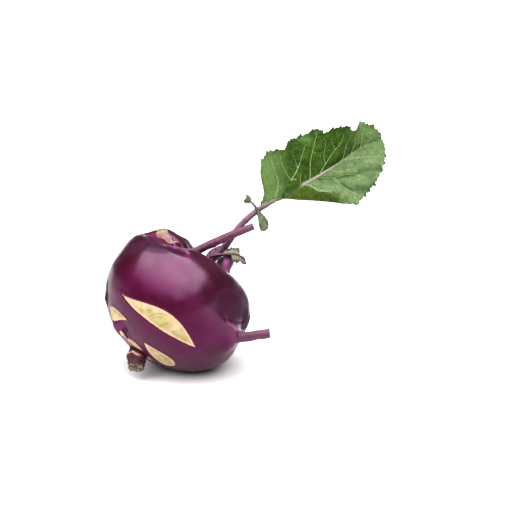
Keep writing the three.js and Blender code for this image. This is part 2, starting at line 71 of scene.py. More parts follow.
def smooth_skin(turn, rise):
    """Points of the smooth skin, in the plant's frame.

    Towards the root the skin is an ellipsoid. Towards the crown its radius and its height follow a lower
    power of the direction, which squares the shoulder. Low lobes stand round it, and it drops towards its
    right. A bell sinks the crown, and bells round the rim raise and lower it.
    """
    turn, rise = np.broadcast_arrays(np.asarray(turn, float), np.asarray(rise, float))
    across, height = np.sin(np.radians(rise)), -np.cos(np.radians(rise))
    upper = height > 0
    power = np.where(upper, 2 / SHOULDER_POWER, 1)
    lobes = 1 + BULB_LOBE_DEPTH * np.cos(np.radians(BULB_LOBES * turn + BULB_LOBE_TURN)) * across ** 2
    out = BULB_RADIUS * across ** power * lobes
    up = np.where(upper, CROWN_HEIGHT, -ROOT_DEPTH) * np.abs(height) ** power
    on_rim = upper * smoothstep(up, RIM_FOOT, RIM_TOP) * np.minimum(1, (out / RIM_RADIUS) ** 2)
    up = up - upper * HOLLOW_DEPTH * bell(out, HOLLOW_RADIUS)
    for swell_turn, reach, swell in RIM_SWELLS:
        up = up + on_rim * swell * bell((turn - swell_turn + 180) % 360 - 180, reach)
    x, y = out * np.sin(np.radians(turn)), -out * np.cos(np.radians(turn))
    return np.stack([x, y, up - SIDE_DROP * x * across ** 2], axis=-1)


def skin_normal(turn, rise, step=0.1):
    """The way out of the smooth skin: square to a small step round it and a small step up it."""
    around = smooth_skin(turn + step, rise) - smooth_skin(turn - step, rise)
    upward = smooth_skin(turn, rise + step) - smooth_skin(turn, rise - step)
    return unit(np.cross(around, upward))


def skin_offsets(points, turn, rise, slant):
    """How far points lie from a place on the skin: round it and up it, both turned by the slant, and out."""
    out = skin_normal(turn, rise)
    around = np.array([np.cos(np.radians(turn)), np.sin(np.radians(turn)), 0.0])
    up = unit(np.cross(out, around))
    around = np.cross(up, out)
    cos, sin = np.cos(np.radians(slant)), np.sin(np.radians(slant))
    axes = np.stack([around * cos + up * sin, up * cos - around * sin, out])
    return np.moveaxis((points - smooth_skin(turn, rise)) @ axes.T, -1, 0)


def waves(points, length, seed, count=9):
    """An uneven field, mostly from -1 to 1: the sum of plane waves of one length in scattered directions."""
    spread = np.arange(count) * 2.399963 + seed
    flat = np.linspace(-0.95, 0.95, count)
    ways = np.stack([np.sqrt(1 - flat ** 2) * np.cos(spread), np.sqrt(1 - flat ** 2) * np.sin(spread), flat])
    phases = (points @ ways) * (2 * np.pi / length) * (1 + 0.35 * np.sin(7 * spread)) + 5 * spread
    return np.sin(phases).sum(-1) / np.sqrt(count)


def uneven(points, fields):
    """The sum of uneven fields, each given by its height, length and seed."""
    return sum(height * waves(points, length, seed) for height, length, seed in fields)


# Mounds and hollows on the skin: turn, rise, half length, half width, height and slant. The foot of the side
# stalk and the sharp ridge to it, an old leaf's foot, a spur, the hollow over the side stalk, the rib below
# the torn scar, that scar's flap, the shoulder beside it, the dip behind it and the side on which it rests.
MOUNDS = [
    (67, 91, 6, 5, 3, -40),
    (55, 94, 8, 1.8, 2.2, -6),
    (-44, 31, 8, 3.6, 2, -58),
    (-66, 51, 1.6, 3.4, 1.3, 0),
    (88, 99, 9, 7, -2, 0),
    (-62, 160, 7, 2, 1.6, -40),
    (-102, 137, 7, 5, 1.0, 0),
    (-86, 121, 6, 5, 1, 0),
    (-112, 156, 6, 5, -1.4, 0),
    (132, 37, 9, 9, 0.6, 0),
]

# Leaf scars: turn, rise and slant of the middle of a scar's chord, its length, how far it bulges above and
# below the chord, and how pointed its left and right ends are.
SCARS = [
    (5, 52.5, 0, 45, 11, -1.5, 1.3, 1.05),
    (38.5, 25.2, -4, 21.4, 7.2, 2.8, 0.9, 0.5),
    (-42.5, 39.9, -2, 17.4, 3.9, 2.9, 0.6, 0.9),
    (-11, 15.7, 11, 11.2, 5.2, 0.9, 0.6, 1.0),
    (160, 58, 3, 34, 4.4, 3.6, 1.0, 1.3),
    (-130, 40, -4, 24, 3, 3, 1.2, 0.9),
]
SCAR_REACH, SCAR_DEPTH, SCAR_RIM = 14.0, 0.35, 0.12


def scar_inset(points, turn, rise, slant, length, above, below, left, right):
    """How far inside a scar's outline points lie, in mm, below 0 outside it.

    Over the chord both edges bulge by (1 + at)^left (1 - at)^right, scaled to 1 at its peak, where at runs
    from -1 at the left end to 1 at the right end.
    """
    along, up, out = skin_offsets(points, turn, rise, slant)
    at = np.clip(2 * along / length, -1, 1)
    peak = (left - right) / (left + right)
    bulge = (1 + at) ** left * (1 - at) ** right / ((1 + peak) ** left * (1 - peak) ** right)
    inside = np.minimum(above * bulge - up, up + below * bulge)
    inside = np.minimum(inside, length / 2 - np.abs(along))
    return np.where(np.abs(out) < SCAR_REACH, inside, -SCAR_REACH)


# The torn scar at the crown's rim, where an upper leaf was pulled off, and the lobe that overhangs one scar.
# Both stand out of the skin with a groove round them, and the torn scar's top is frayed.
TORN = (-84, 147.8, 25, 20.5, 6.6, 1.8, 0.8, 0.35)
TORN_RISE, TORN_GROOVE, TORN_FRAY = 0.3, 0.2, 1.2
LOBE = (-44, 29.5, 32, 24, 4.3, 5.0, 0.35, 0.8)
LOBE_RISE, LOBE_GROOVE, LOBE_FADES = 0.8, 0.3, (1.0, 8.0)
OVERHUNG_SCAR, PEACH_SCAR, PEACH_TINT = 2, 3, 0.35

# Uneven relief as height, length and seed: of the skin, of the torn scar's outline and of its face.
SKIN_WAVES = [(0.16, 26.0, 1.0), (0.05, 9.0, 2.0)]
TORN_EDGE_WAVES, TORN_FACE_WAVES = [(0.5, 3.0, 6.0)], [(0.25, 1.6, 7.0)]
FIBRE_HEIGHT, FIBRE_RATE = 0.2, 4  # the rate is in radians per mm

# Marks that run over the skin, in relief or as colour alone: kind, height, reach to either side, strength of
# the colour, and the course of turns and rises. Rosy marks are magenta patches and painted highlights, lilac
# marks are painted sheen, and dark marks are painted shade in creases, hollows and shaded flanks, dull too.
MARKS = [
    # A pink rib below the torn scar, with a painted highlight along its top.
    ("rosy_and_highlight", 0.3, 2.8, 0.5, [(-62, 136), (-48, 139.5), (-36, 140.5), (-24, 136)]),
    ("rosy_and_highlight", 0.5, 2.0, 0.6, [(-24, 136), (-18, 134.8), (-13, 133.6)]),
    ("rosy_and_highlight", 0.3, 1.2, 0.4, [(-13, 133.6), (-9, 132.4)]),
    # Painted sheen along the rib below the torn scar.
    ("painted_sheen", 0.1, 1.7, 0.9, [(-34, 139.8), (-26.4, 135.1), (-22, 132)]),
    ("painted_sheen", 0.0, 1.0, 0.6, [(-21.5, 135.6), (-14.5, 134.2), (-9, 132.5)]),
    # A painted highlight along the near rim.
    ("rosy_and_highlight", 0.1, 0.8, 0.4, [(-63, 158), (-40, 155), (-16, 149), (-2, 146)]),
    ("rosy_and_highlight", 0.0, 4.5, 0.4, [(-88, 133), (-75, 131), (-60, 136), (-50, 142)]),
    ("rosy_and_highlight", 0.0, 1.6, 0.3, [(-9, 126), (-3, 121)]),
    # Dark marks from here paint shade: at the rim, in the creases below the rib, on both flanks, in the
    # hollow over the side stalk and over the far crest.
    ("dark", 0.0, 2.0, 0.9, [(-93, 124), (-95, 127), (-97, 129.5)]),
    ("dark", -0.15, 2.8, 0.9, [(-40, 105), (-32.5, 107.7), (-28.6, 110.9), (-24.1, 118.2),
                               (-18.6, 119.8), (-12, 126)]),
    ("dark", 0.0, 3.8, 0.7, [(-57, 93), (-46, 99.5), (-36.5, 103.5), (-29, 106.5), (-23, 113)]),
    ("dark", 0.0, 4.5, 0.5, [(-60, 84), (-55, 92), (-47, 98)]),
    ("dark", 0.0, 8.5, 0.85, [(42, 107), (52, 111), (60, 117), (64, 127)]),
    ("dark", 0.0, 6.0, 1.0, [(70, 114), (75, 107), (83, 110), (96, 114)]),
    ("dark", 0.0, 3.5, 0.8, [(-108, 158), (-120, 164), (-150, 166)]),
    ("dark", 0.0, 2.2, 0.7, [(-55, 123), (-48, 118), (-43, 113.5)]),
    ("dark", 0.0, 1.6, 0.6, [(-17, 138.5), (-13.9, 140), (-11, 144)]),
    ("dark", 0.0, 2.0, 0.6, [(-66, 160), (-60, 162.5), (-50, 163)]),
    # Painted sheen on the lit top of the ridge to the side stalk, and painted shade in the crease under it.
    ("painted_sheen", 0.9, 0.9, 0.8, [(50, 95.7), (55.5, 96.5), (60, 96.8), (65, 97.3), (74.5, 99)]),
    ("dark", -0.5, 0.9, 0.8, [(50, 97.2), (57, 99.6), (63, 102), (70, 106)]),
    ("painted_sheen", 0.0, 1.8, 0.4, [(58, 98.8), (66.5, 100.5), (74, 102)]),
    # The side stalk's rosy foot, partly a painted glint.
    ("rosy_and_highlight", 0.0, 3.6, 0.3, [(60, 93.5), (67, 91), (73, 90)]),
    # Painted shade beside the spur and in the lobe's crevice.
    ("dark", 0.0, 2.2, 0.8, [(-66, 47), (-66, 56), (-68, 62)]),
    ("dark", -0.4, 0.55, 0.8, [(-27, 34), (-25, 32), (-29.4, 28.5), (-26.5, 26), (-25, 23.7)]),
    ("dark", -0.3, 0.45, 0.8, [(-29, 33), (-31, 31), (-29.8, 28.8), (-30.5, 26)]),
    # Painted sheen on the overhanging lobe.
    ("painted_sheen", 0.2, 2.4, 0.25, [(-42, 36), (-37, 33.5), (-33, 33)]),
    ("cream", 0.0, 0.8, 0.7, [(-33.5, 29.5), (-32.6, 27.5), (-34.1, 24.5), (-30, 23.5)]),
    ("cream", 0.1, 0.9, 1.0, [(42, 14.5), (49, 13.5), (55, 14.5)]),
    ("olive", 0.05, 0.45, 0.8, [(-2, 58.8), (-0.5, 62), (2, 65.5), (5, 68), (9, 69.3)]),
    ("olive", 0.0, 0.35, 0.7, [(0, 57.5), (1.5, 61), (4, 64), (7, 65.8)]),
    ("lime", 0.05, 0.7, 1.0, [(7.2, 58.6), (8.3, 62), (9.7, 66.8)]),
    ("olive", 0.0, 0.9, 0.6, [(9.5, 57.5), (11, 60), (12.5, 64)]),
    ("olive", 0.0, 0.9, 0.5, [(-12, 59.8), (-10.5, 59.2)]),
    ("olive", 0.0, 0.7, 0.5, [(-6.5, 63), (-3.5, 64)]),
    ("olive", -0.1, 0.4, 0.7, [(-19.7, 60.8), (-19.2, 60.8)]),
    ("olive", 0.0, 0.9, 0.5, [(21, 61.8), (22.5, 61.2)]),
    ("olive", 0.0, 0.8, 0.5, [(26, 61.8), (27.5, 61.4)]),
    ("olive", 0.0, 0.9, 0.6, [(32.5, 62.8), (34, 62.2)]),
    ("olive", 0.0, 0.8, 0.5, [(29.5, 32.8), (31, 32)]),
    ("olive", -0.1, 0.5, 0.9, [(38, 30.8), (39, 30.6)]),
    ("olive", 0.0, 1.0, 0.5, [(43, 32), (47, 31.5)]),
    ("olive", 0.0, 0.8, 0.5, [(55, 32.3), (58, 31.6)]),
    ("olive", 0.0, 0.7, 0.5, [(-46, 44), (-43, 43.3), (-38, 41.8)]),
    ("olive", 0.0, 0.6, 0.6, [(156, 60), (160, 63), (166, 60)]),
    ("olive", 0.0, 0.8, 0.5, [(150, 57), (170, 57)]),
]


def off_stretch(points, start, end):
    """How far points lie off a straight stretch, and the share of the way along it that is nearest each."""
    step = end - start
    share = np.clip(((points - start) @ step) / (step @ step), 0, 1)
    return np.linalg.norm(points - start - share[..., None] * step, axis=-1), share


def near_line(points, line, reach):
    """1 along a line through the places given, falling off to either side by its reach."""
    nearest = np.min([off_stretch(points, *ends)[0] for ends in zip(line[:-1], line[1:])], axis=0)
    return bell(nearest, reach)


def turning(axis, degrees):
    """The matrix that turns points round an axis: 0 for X, 1 for Y, 2 for Z."""
    first, second = (axis + 1) % 3, (axis + 2) % 3
    matrix = np.eye(3)
    matrix[first, first] = matrix[second, second] = np.cos(np.radians(degrees))
    matrix[second, first] = np.sin(np.radians(degrees))
    matrix[first, second] = -matrix[second, first]
    return matrix


def plant_to_row(points):
    """Leans the plant's frame right and back, moves it to where the bulb lies, and gives metres."""
    return (points @ (turning(0, -LEAN_BACK) @ turning(1, LEAN_RIGHT)).T + BULB_MIDDLE) * MM


def closed_grid(points, values, ends="poles"):
    """Vertices, faces and values of a surface whose rows each close on themselves, with outward faces.

    points is rows by columns by 3, and values rows by columns by channels. The first and last rows are closed
    by a point in their middle or, where ends is "seam", by joining the near half of the row to the far half.
    """
    rows, columns = points.shape[:2]
    corner = np.arange(rows * columns).reshape(rows, columns)
    right = np.roll(corner, -1, axis=1)
    quads = np.stack([corner[:-1], right[:-1], right[1:], corner[1:]], axis=-1).reshape(-1, 4)
    points, values = points.reshape(-1, 3), values.reshape(rows * columns, -1)
    triangles = np.empty((0, 3), int)
    if ends == "poles":
        low, high = rows * columns, rows * columns + 1
        below = np.stack([right[0], corner[0], np.full(columns, low)], axis=-1)
        above = np.stack([corner[-1], right[-1], np.full(columns, high)], axis=-1)
        triangles = np.concatenate([below, above])
        points = np.vstack([points, points[corner[0]].mean(0), points[corner[-1]].mean(0)])
        values = np.vstack([values, values[corner[0]].mean(0), values[corner[-1]].mean(0)])
    else:
        near = np.arange(columns // 2 - 1)
        far = columns - 1 - near
        for row, order in ((corner[0], (3, 2, 1, 0)), (corner[-1], (0, 1, 2, 3))):
            strip = np.stack([row[near], row[near + 1], row[far - 1], row[far]], axis=-1)
            quads = np.vstack([quads, strip[:, order]])
    fans = np.vstack([quads[:, [0, 1, 2]], quads[:, [0, 2, 3]], triangles])
    volume = np.einsum("ij,ij->i", points[fans[:, 0]], np.cross(points[fans[:, 1]], points[fans[:, 2]])).sum()
    if volume < 0:
        quads, triangles = quads[:, ::-1], triangles[:, ::-1]
    return points, values, quads, triangles


def make_piece(name, shells, channels, material, node):
    """One object of closed shells, which stands for a CAD node, with a value per vertex for each channel."""
    vertices, faces, values, start = [], [], [], 0
    for points, channel_values, quads, triangles in shells:
        vertices.append(points)
        values.append(channel_values)
        faces += (quads + start).tolist() + (triangles + start).tolist()
        start += len(points)
    mesh = bpy.data.meshes.new(name)
    mesh.from_pydata(np.vstack(vertices), [], faces)
    for k, channel in enumerate(channels):
        attribute = mesh.attributes.new(channel, "FLOAT", "POINT")
        attribute.data.foreach_set("value", np.vstack(values)[:, k].astype(np.float32))
    mesh.shade_smooth()
    mesh.materials.append(material)
    piece = bpy.data.objects.new(name, mesh)
    bpy.context.scene.collection.objects.link(piece)
    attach(piece, "root")
    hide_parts(node)
    return piece


def colour(red, green, blue):
    """A colour given as it shows on a screen, from 0 to 255, as the shader's own light values."""
    shown = np.array([red, green, blue]) / 255
    light = np.where(shown <= 0.04045, shown / 12.92, ((shown + 0.055) / 1.055) ** 2.4)
    return (*light.tolist(), 1.0)


def plug(node, sockets):
    """Sets a shader node's input sockets, or links those that are given another node's socket."""
    for socket, value in sockets.items():
        if isinstance(value, bpy.types.NodeSocket):
            node.id_data.links.new(value, node.inputs[socket])
        else:
            node.inputs[socket].default_value = value
    return node


def add(tree, kind, sockets, **options):
    """Adds a shader node and sets its options and its input sockets."""
    made = tree.nodes.new("ShaderNode" + kind)
    for option, value in options.items():
        setattr(made, option, value)
    return plug(made, sockets)


def attributes(tree, *names):
    """A piece's own values per vertex."""
    return [add(tree, "Attribute", {}, attribute_name=name).outputs["Fac"] for name in names]


def graded(value, low, high, start=0.0, end=1.0):
    """A smooth step in the shader, from start at low to end at high."""
    sockets = {"Value": value, "From Min": low, "From Max": high, "To Min": start, "To Max": end}
    return add(value.id_data, "MapRange", sockets, interpolation_type="SMOOTHSTEP").outputs["Result"]


def painted(under, *layers):
    """A colour with layers over it, each given by how much of it shows, from 0 to 1, and its own colour.

    A colour is a socket, or red, green and blue from 0 to 255.
    """
    for share, over in layers:
        first, second = (colour(*shade) if isinstance(shade, tuple) else shade for shade in (under, over))
        under = add(share.id_data, "Mix", {0: share, 6: first, 7: second}, data_type="RGBA").outputs[2]
    return under


def reckon(operation, *values):
    """Arithmetic in the shader on values of which the first is a socket."""
    return add(values[0].id_data, "Math", dict(enumerate(values)), operation=operation).outputs[0]


def noise(place, scale, detail=3.0, roughness=0.5):
    """Uneven values from 0 to 1, scale of them to a metre of the place given."""
    sockets = {"Vector": place, "Scale": scale, "Detail": detail, "Roughness": roughness}
    return add(place.id_data, "TexNoise", sockets).outputs["Fac"]


def new_material(name):
    """A new material, its tree, its shader, and the piece's own place in metres."""
    material = bpy.data.materials.new(name)
    material.use_nodes = True
    tree = material.node_tree
    return material, tree, tree.nodes["Principled BSDF"], add(tree, "TexCoord", {}).outputs["Object"]


def finish(shader, sockets, relief, strength, depth):
    """Sets or links the shader's sockets, and dents its surface by a relief, whose depth is in metres."""
    bump = add(shader.id_data, "Bump", {"Height": relief, "Strength": strength, "Distance": depth})
    plug(shader, {**sockets, "Normal": bump.outputs["Normal"]})


# The skin's colour at the root, in the middle and at the crown, in its uneven patches, and along its marks:
# rosy patches with painted highlights, painted lilac sheen, and painted shade.
SKIN_LOW, SKIN_MIDDLE, SKIN_HIGH = (56, 8, 26), (60, 2, 28), (54, 1, 28)
SKIN_DEEP, SKIN_RED = (46, 1, 18), (80, 8, 52)
SKIN_MARKS = {"rosy_and_highlight": (122, 24, 84), "painted_sheen": (124, 70, 112), "dark": (38, 6, 22)}

# The scars' healed face, its specks, stains, pale rim and brown edge, and the torn scar's rough face.
SCAR_CREAM, SCAR_TAN, SCAR_SPECK = (184, 170, 136), (156, 142, 94), (160, 150, 90)
SCAR_OLIVE, SCAR_LIME, SCAR_PEACH = (128, 126, 56), (150, 162, 82), (206, 160, 136)
SCAR_RIM_PALE, SCAR_EDGE = (206, 178, 152), (120, 66, 62)
TORN_GREY, TORN_ROSE, TORN_GREEN, TORN_BROWN = (146, 126, 122), (128, 94, 90), (134, 134, 100), (84, 66, 50)
TORN_WARM, TORN_PALE = (110, 66, 52), (157, 130, 112)


def bulb_material():
    """Purple skin with its marks, over which the scars and the torn scar are laid in their own colours.

    The marks paint highlights, sheen and shade besides colour. Scars, the torn scar and the dark marks of
    painted shade are dry: rougher, and without the skin's bloom.
    """
    material, tree, shader, place = new_material("bulb_skin")
    height, scar, peach, olive, lime = attributes(tree, "height", "scar", "peach", "olive", "lime")
    torn, torn_green, torn_warm = attributes(tree, "torn", "torn_green", "torn_warm")
    marks = dict(zip(SKIN_MARKS, attributes(tree, *SKIN_MARKS)))
    broad, mottle, grain = noise(place, 22.0), noise(place, 70.0, 3.0, 0.6), noise(place, 170.0, 4.0, 0.65)
    specks, ragged, fine = noise(place, 420.0), noise(place, 900.0), noise(place, 650.0, 4.0, 0.7)
    skin = painted(
        SKIN_LOW,
        (graded(height, -0.03, 0.0), SKIN_MIDDLE),
        (graded(height, 0.0, 0.02), SKIN_HIGH),
        (graded(broad, 0.4, 0.68, 0.0, 0.7), SKIN_DEEP),
        (graded(mottle, 0.4, 0.72, 0.0, 0.6), SKIN_RED),
        # The marks: rosy patches with painted highlights, painted sheen and painted shade.
        *((marks[kind], shade) for kind, shade in SKIN_MARKS.items()))
    inset = reckon("SUBTRACT", reckon("MULTIPLY_ADD", ragged, 0.5, scar), 0.25)
    healed = painted(
        SCAR_CREAM,
        (graded(grain, 0.3, 0.7), SCAR_TAN),
        (graded(specks, 0.6, 0.74, 0.0, 0.5), SCAR_SPECK),
        (reckon("MULTIPLY", olive, graded(grain, 0.2, 0.6, 0.4, 0.9)), SCAR_OLIVE),
        (lime, SCAR_LIME),
        (graded(inset, 0.3, 1.4, 0.7, 0.0), SCAR_RIM_PALE),
        (peach, SCAR_PEACH),
        (graded(inset, 0.05, 0.4, 0.9, 0.0), SCAR_EDGE))
    flesh = painted(
        TORN_GREY,
        (graded(grain, 0.35, 0.65), TORN_ROSE),
        (graded(torn_green, 0.3, 0.7), TORN_GREEN),
        (graded(fine, 0.6, 0.72, 0.0, 0.4), TORN_BROWN),
        (torn_warm, TORN_WARM),
        (graded(torn, 0.1, 0.7, 0.7, 0.0), TORN_PALE))
    on_scar, on_torn = graded(inset, -0.06, 0.06), graded(torn, -0.1, 0.1)
    dry = reckon("MAXIMUM", reckon("MAXIMUM", on_scar, on_torn), marks["dark"])
    bloom = reckon("MULTIPLY", graded(height, -0.006, 0.01), graded(grain, 0.3, 0.7, 0.7, 1.05))
    finish(shader, {
        "Base Color": painted(skin, (on_scar, healed), (on_torn, flesh)),
        "Roughness": reckon("MULTIPLY_ADD", dry, 0.5, graded(mottle, 0.3, 0.7, 0.28, 0.4)),
        "Specular IOR Level": 0.52,
        "Specular Tint": (1.0, 0.36, 0.9, 1.0),
        "Coat Weight": reckon("MULTIPLY", bloom, reckon("MULTIPLY_ADD", dry, -1.0, 1.0)),
        "Coat Roughness": 0.24,
    }, relief=mottle, strength=0.15, depth=0.0004)
    return material


# The skin's grid is denser at the front, and its rows are evenly spaced along the profile, from pole to pole.
BULB_ROWS, BULB_COLUMNS, FRONT_BIAS, POLE_GAP = 250, 380, 0.3, 0.3
profile_rise = np.linspace(POLE_GAP, 180 - POLE_GAP, 4000)
profile = smooth_skin(0, profile_rise)
profile_length = np.concatenate([[0], np.cumsum(np.linalg.norm(np.diff(profile, axis=0), axis=1))])
rises = np.interp(np.linspace(0, profile_length[-1], BULB_ROWS), profile_length, profile_rise)
rounds = np.linspace(-np.pi, np.pi, BULB_COLUMNS, endpoint=False)
turns = np.degrees(rounds - FRONT_BIAS * np.sin(rounds))
turn, rise = np.meshgrid(turns, rises)

base = smooth_skin(turn, rise)
outward = skin_normal(turn, rise)
lift = np.zeros(turn.shape)
for mound_turn, mound_rise, half_length, half_width, mound_height, slant in MOUNDS:
    along, up, out = skin_offsets(base, mound_turn, mound_rise, slant)
    off = np.sqrt((along / half_length) ** 2 + (up / half_width) ** 2 + (out / BULB_RADIUS) ** 2)
    lift += mound_height * bell(off, 1)

lobe = scar_inset(base, *LOBE)
lobe_fades = 1 - smoothstep(skin_offsets(base, *LOBE[:3])[0], *LOBE_FADES)
lift += (LOBE_RISE * smoothstep(lobe, -0.1, 1.6) - LOBE_GROOVE * bell(lobe + 0.4, 0.5)) * lobe_fades
insets = np.stack([scar_inset(base, *scar) for scar in SCARS])
insets[OVERHUNG_SCAR] = np.minimum(insets[OVERHUNG_SCAR], -lobe)
inset = np.clip(insets.max(0), -4, 4)
peach = PEACH_TINT * (insets.argmax(0) == PEACH_SCAR)
lift += SCAR_RIM * bell(inset + 0.7, 0.6) - SCAR_DEPTH * smoothstep(inset, -0.3, 0.5)
lift += uneven(base, SKIN_WAVES)

torn = scar_inset(base, *TORN) + uneven(base, TORN_EDGE_WAVES)
torn_along, torn_up, _ = skin_offsets(base, *TORN[:3])
torn_green = smoothstep(-torn_along, 3.0, 6.5)
torn_warm = bell(torn - 0.9, 0.6) * smoothstep(-torn_up, -1.0, 1.0)
ragged = uneven(base, TORN_FACE_WAVES) + FIBRE_HEIGHT * np.sin(FIBRE_RATE * torn_up + np.sin(torn_along))
rough_top = TORN_FRAY * torn_green * smoothstep(torn_up, 0.5, 3.5) + ragged * (0.6 + 1.5 * torn_green)
lift += smoothstep(torn, -0.1, 0.5) * (TORN_RISE + rough_top) - TORN_GROOVE * bell(torn + 0.5, 0.5)

# Marks of colour, of painted highlight, sheen and shade, and healed cream patches.
colours = {name: np.zeros(turn.shape) for name in ("rosy_and_highlight", "painted_sheen", "dark", "cream", "olive", "lime")}
for kind, mark_height, reach, strength, course in MARKS:
    here = near_line(base, smooth_skin(*np.array(course, float).T), reach)
    lift += mark_height * here
    colours[kind] = np.maximum(colours[kind], strength * smoothstep(here, 0.2, 0.8))
patches = colours.pop("cream")  # healed like the scars, and peach
inset, peach = np.maximum(inset, patches * 1.6 - 0.6), np.maximum(peach, 0.8 * patches)

# The bulb is pressed flat where it would reach through the floor.
skin_points = plant_to_row(base + outward * lift[..., None])
skin_points[..., 2] = np.maximum(skin_points[..., 2], 0)
colours |= {"scar": inset, "peach": peach, "torn": np.clip(torn, -4, 4), "torn_green": torn_green,
            "torn_warm": torn_warm, "height": base[..., 2] * MM}
bulb_shell = closed_grid(skin_points, np.stack(list(colours.values()), axis=-1))
make_piece("bulb_skin", [bulb_shell], list(colours), bulb_material(), "bulb")

# ---- The root -------------------------------------------------------------------------------------------
# The taproot was cut short below the bulb: a knobbly woody stub with dark bark, a torn paler collar round
# it, and a greenish fibrous cut face. Its neck grows out of the root's pole.
ROOT_ROUTE = [(-3.4, 1, -25), (-2, -1, -28.5), (0, -2.4, -31.4), (2, -3.4, -34.6), (4.2, -4.2, -38.2)]
ROOT_RADII = [6.4, 5.4, 4.3, 3.8, 4.3, 4.4, 4.1, 4.2, 3.4]
ROOT_ROWS, ROOT_COLUMNS = 130, 110
BARK_WAVES, CUT_WAVES = [(0.3, 4.0, 1.0), (0.16, 1.7, 2.0)], [(0.35, 1.3, 5.0)]
RINGS, RING_HEIGHT = 60, 0.12
COLLAR_AT, COLLAR_TILT, COLLAR_STEP, EDGE_WAVES = 0.6, 0.08, 0.5, [(0.02, 2, 1), (0.015, 5, 0)]
BARK_BROWN, BARK_RED, BARK_FLECK, BARK_NECK = (40, 6, 16), (84, 22, 32), (190, 118, 116), (42, 6, 24)
COLLAR_PINK, CUT_BROWN, CUT_PALE = (190, 150, 140), (62, 46, 36), (142, 132, 108)


def cubic(share, start, end, start_slope, end_slope):
    """The cubic curve from start to end with the slopes given, at shares of the way between them."""
    arrived = share ** 2 * (3 - 2 * share)
    leaving, arriving = share * (1 - share) ** 2, share ** 2 * (share - 1)
    return start * (1 - arrived) + end * arrived + start_slope * leaving + end_slope * arriving


def smooth_path(points, shares):
    """Points at the given shares of its length along the smooth curve through the points given.

    Each stretch is a cubic. Its slope at a point weighs the stretches on both sides by the square roots of
    their lengths, and both ends are carried on straight.
    """
    given = np.array([(*point, 0)[:3] for point in points], float)
    given = np.vstack([2 * given[0] - given[1], given, 2 * given[-1] - given[-2]])
    steps = np.diff(given, axis=0)
    gaps = np.sqrt(np.linalg.norm(steps, axis=1))[:, None]
    slopes = steps[:-1] / gaps[:-1] - (steps[:-1] + steps[1:]) / (gaps[:-1] + gaps[1:]) + steps[1:] / gaps[1:]
    place = np.linspace(0, len(points) - 1, 80 * len(points))
    k = np.minimum(place.astype(int), len(points) - 2)
    gap = gaps[k + 1]
    curve = cubic((place - k)[:, None], given[k + 1], given[k + 2], gap * slopes[k], gap * slopes[k + 1])
    length = np.concatenate([[0], np.cumsum(np.linalg.norm(np.diff(curve, axis=0), axis=1))])
    return np.stack([np.interp(shares, length / length[-1], part) for part in curve.T], axis=-1)


def smooth_values(values, shares):
    """Values at the given shares along a smooth curve through evenly spaced values."""
    place = np.asarray(shares) * (len(values) - 1)
    k = np.minimum(place.astype(int), len(values) - 2)
    steps = (np.clip(k + step, 0, len(values) - 1) for step in (-1, 0, 1, 2))
    before, here, there, after = (np.array(values, float)[step] for step in steps)
    return cubic(place - k, here, there, (there - before) / 2, (after - here) / 2)


def round_stalk(route, radii, rows, columns, dome):
    """The skin of a round body along a route, in rows across it, with both ends closed by shallow domes.

    Returns the points, the way out at each, its share along the route, its angle round it, and how far in
    over an end it lies, from 0 on the side to 1 in the middle of the end.
    """
    closing = np.array([0.1, 0.4, 0.7, 0.88, 0.97])
    share = np.concatenate([0 * closing, np.linspace(0, 1, rows), 0 * closing + 1])
    inward = np.concatenate([closing, np.ones(rows), closing[::-1]])
    angle = np.linspace(0, 2 * np.pi, columns, endpoint=False)
    middle = smooth_path(route, share)
    fine = np.linspace(0, 1, 400)
    along = unit(np.gradient(smooth_path(route, fine), axis=0))
    along = unit(np.stack([np.interp(share, fine, part) for part in along.T], axis=-1))
    sideways = unit(np.cross(along, [0.0, 1.0, 0.0]))
    front = np.cross(sideways, along)
    outward = sideways[:, None] * np.cos(angle)[:, None] - front[:, None] * np.sin(angle)[:, None]
    girth = smooth_values(radii, share) * inward
    ends = np.where(share > 0.5, 1, -1) * dome * (1 - inward ** 2)
    points = middle[:, None] + outward * girth[:, None, None] + (along * ends[:, None])[:, None]
    share, angle = np.meshgrid(share, angle, indexing="ij")
    return points, outward, share, angle, np.broadcast_to((1 - inward)[:, None], share.shape)


def root_material():
    """Dark red-brown bark flecked with pink, a pinkish collar, and a greenish beige cut face."""
    material, tree, shader, place = new_material("root_bark")
    collar, cut, neck = attributes(tree, *ROOT_CHANNELS)
    rough, fine = noise(place, 420.0, 5.0, 0.65), noise(place, 1500.0, 3.0, 0.6)
    bark = painted(BARK_BROWN, (graded(rough, 0.35, 0.65), BARK_RED), (graded(fine, 0.64, 0.72), BARK_FLECK),
                   (neck, BARK_NECK), (reckon("MULTIPLY", collar, graded(rough, 0.3, 0.5)), COLLAR_PINK))
    face = painted(CUT_BROWN, (graded(rough, 0.4, 0.6), CUT_PALE))
    surface = painted(bark, (cut, face))
    finish(shader, {"Base Color": surface, "Roughness": 0.6}, rough, strength=0.6, depth=0.0004)
    return material


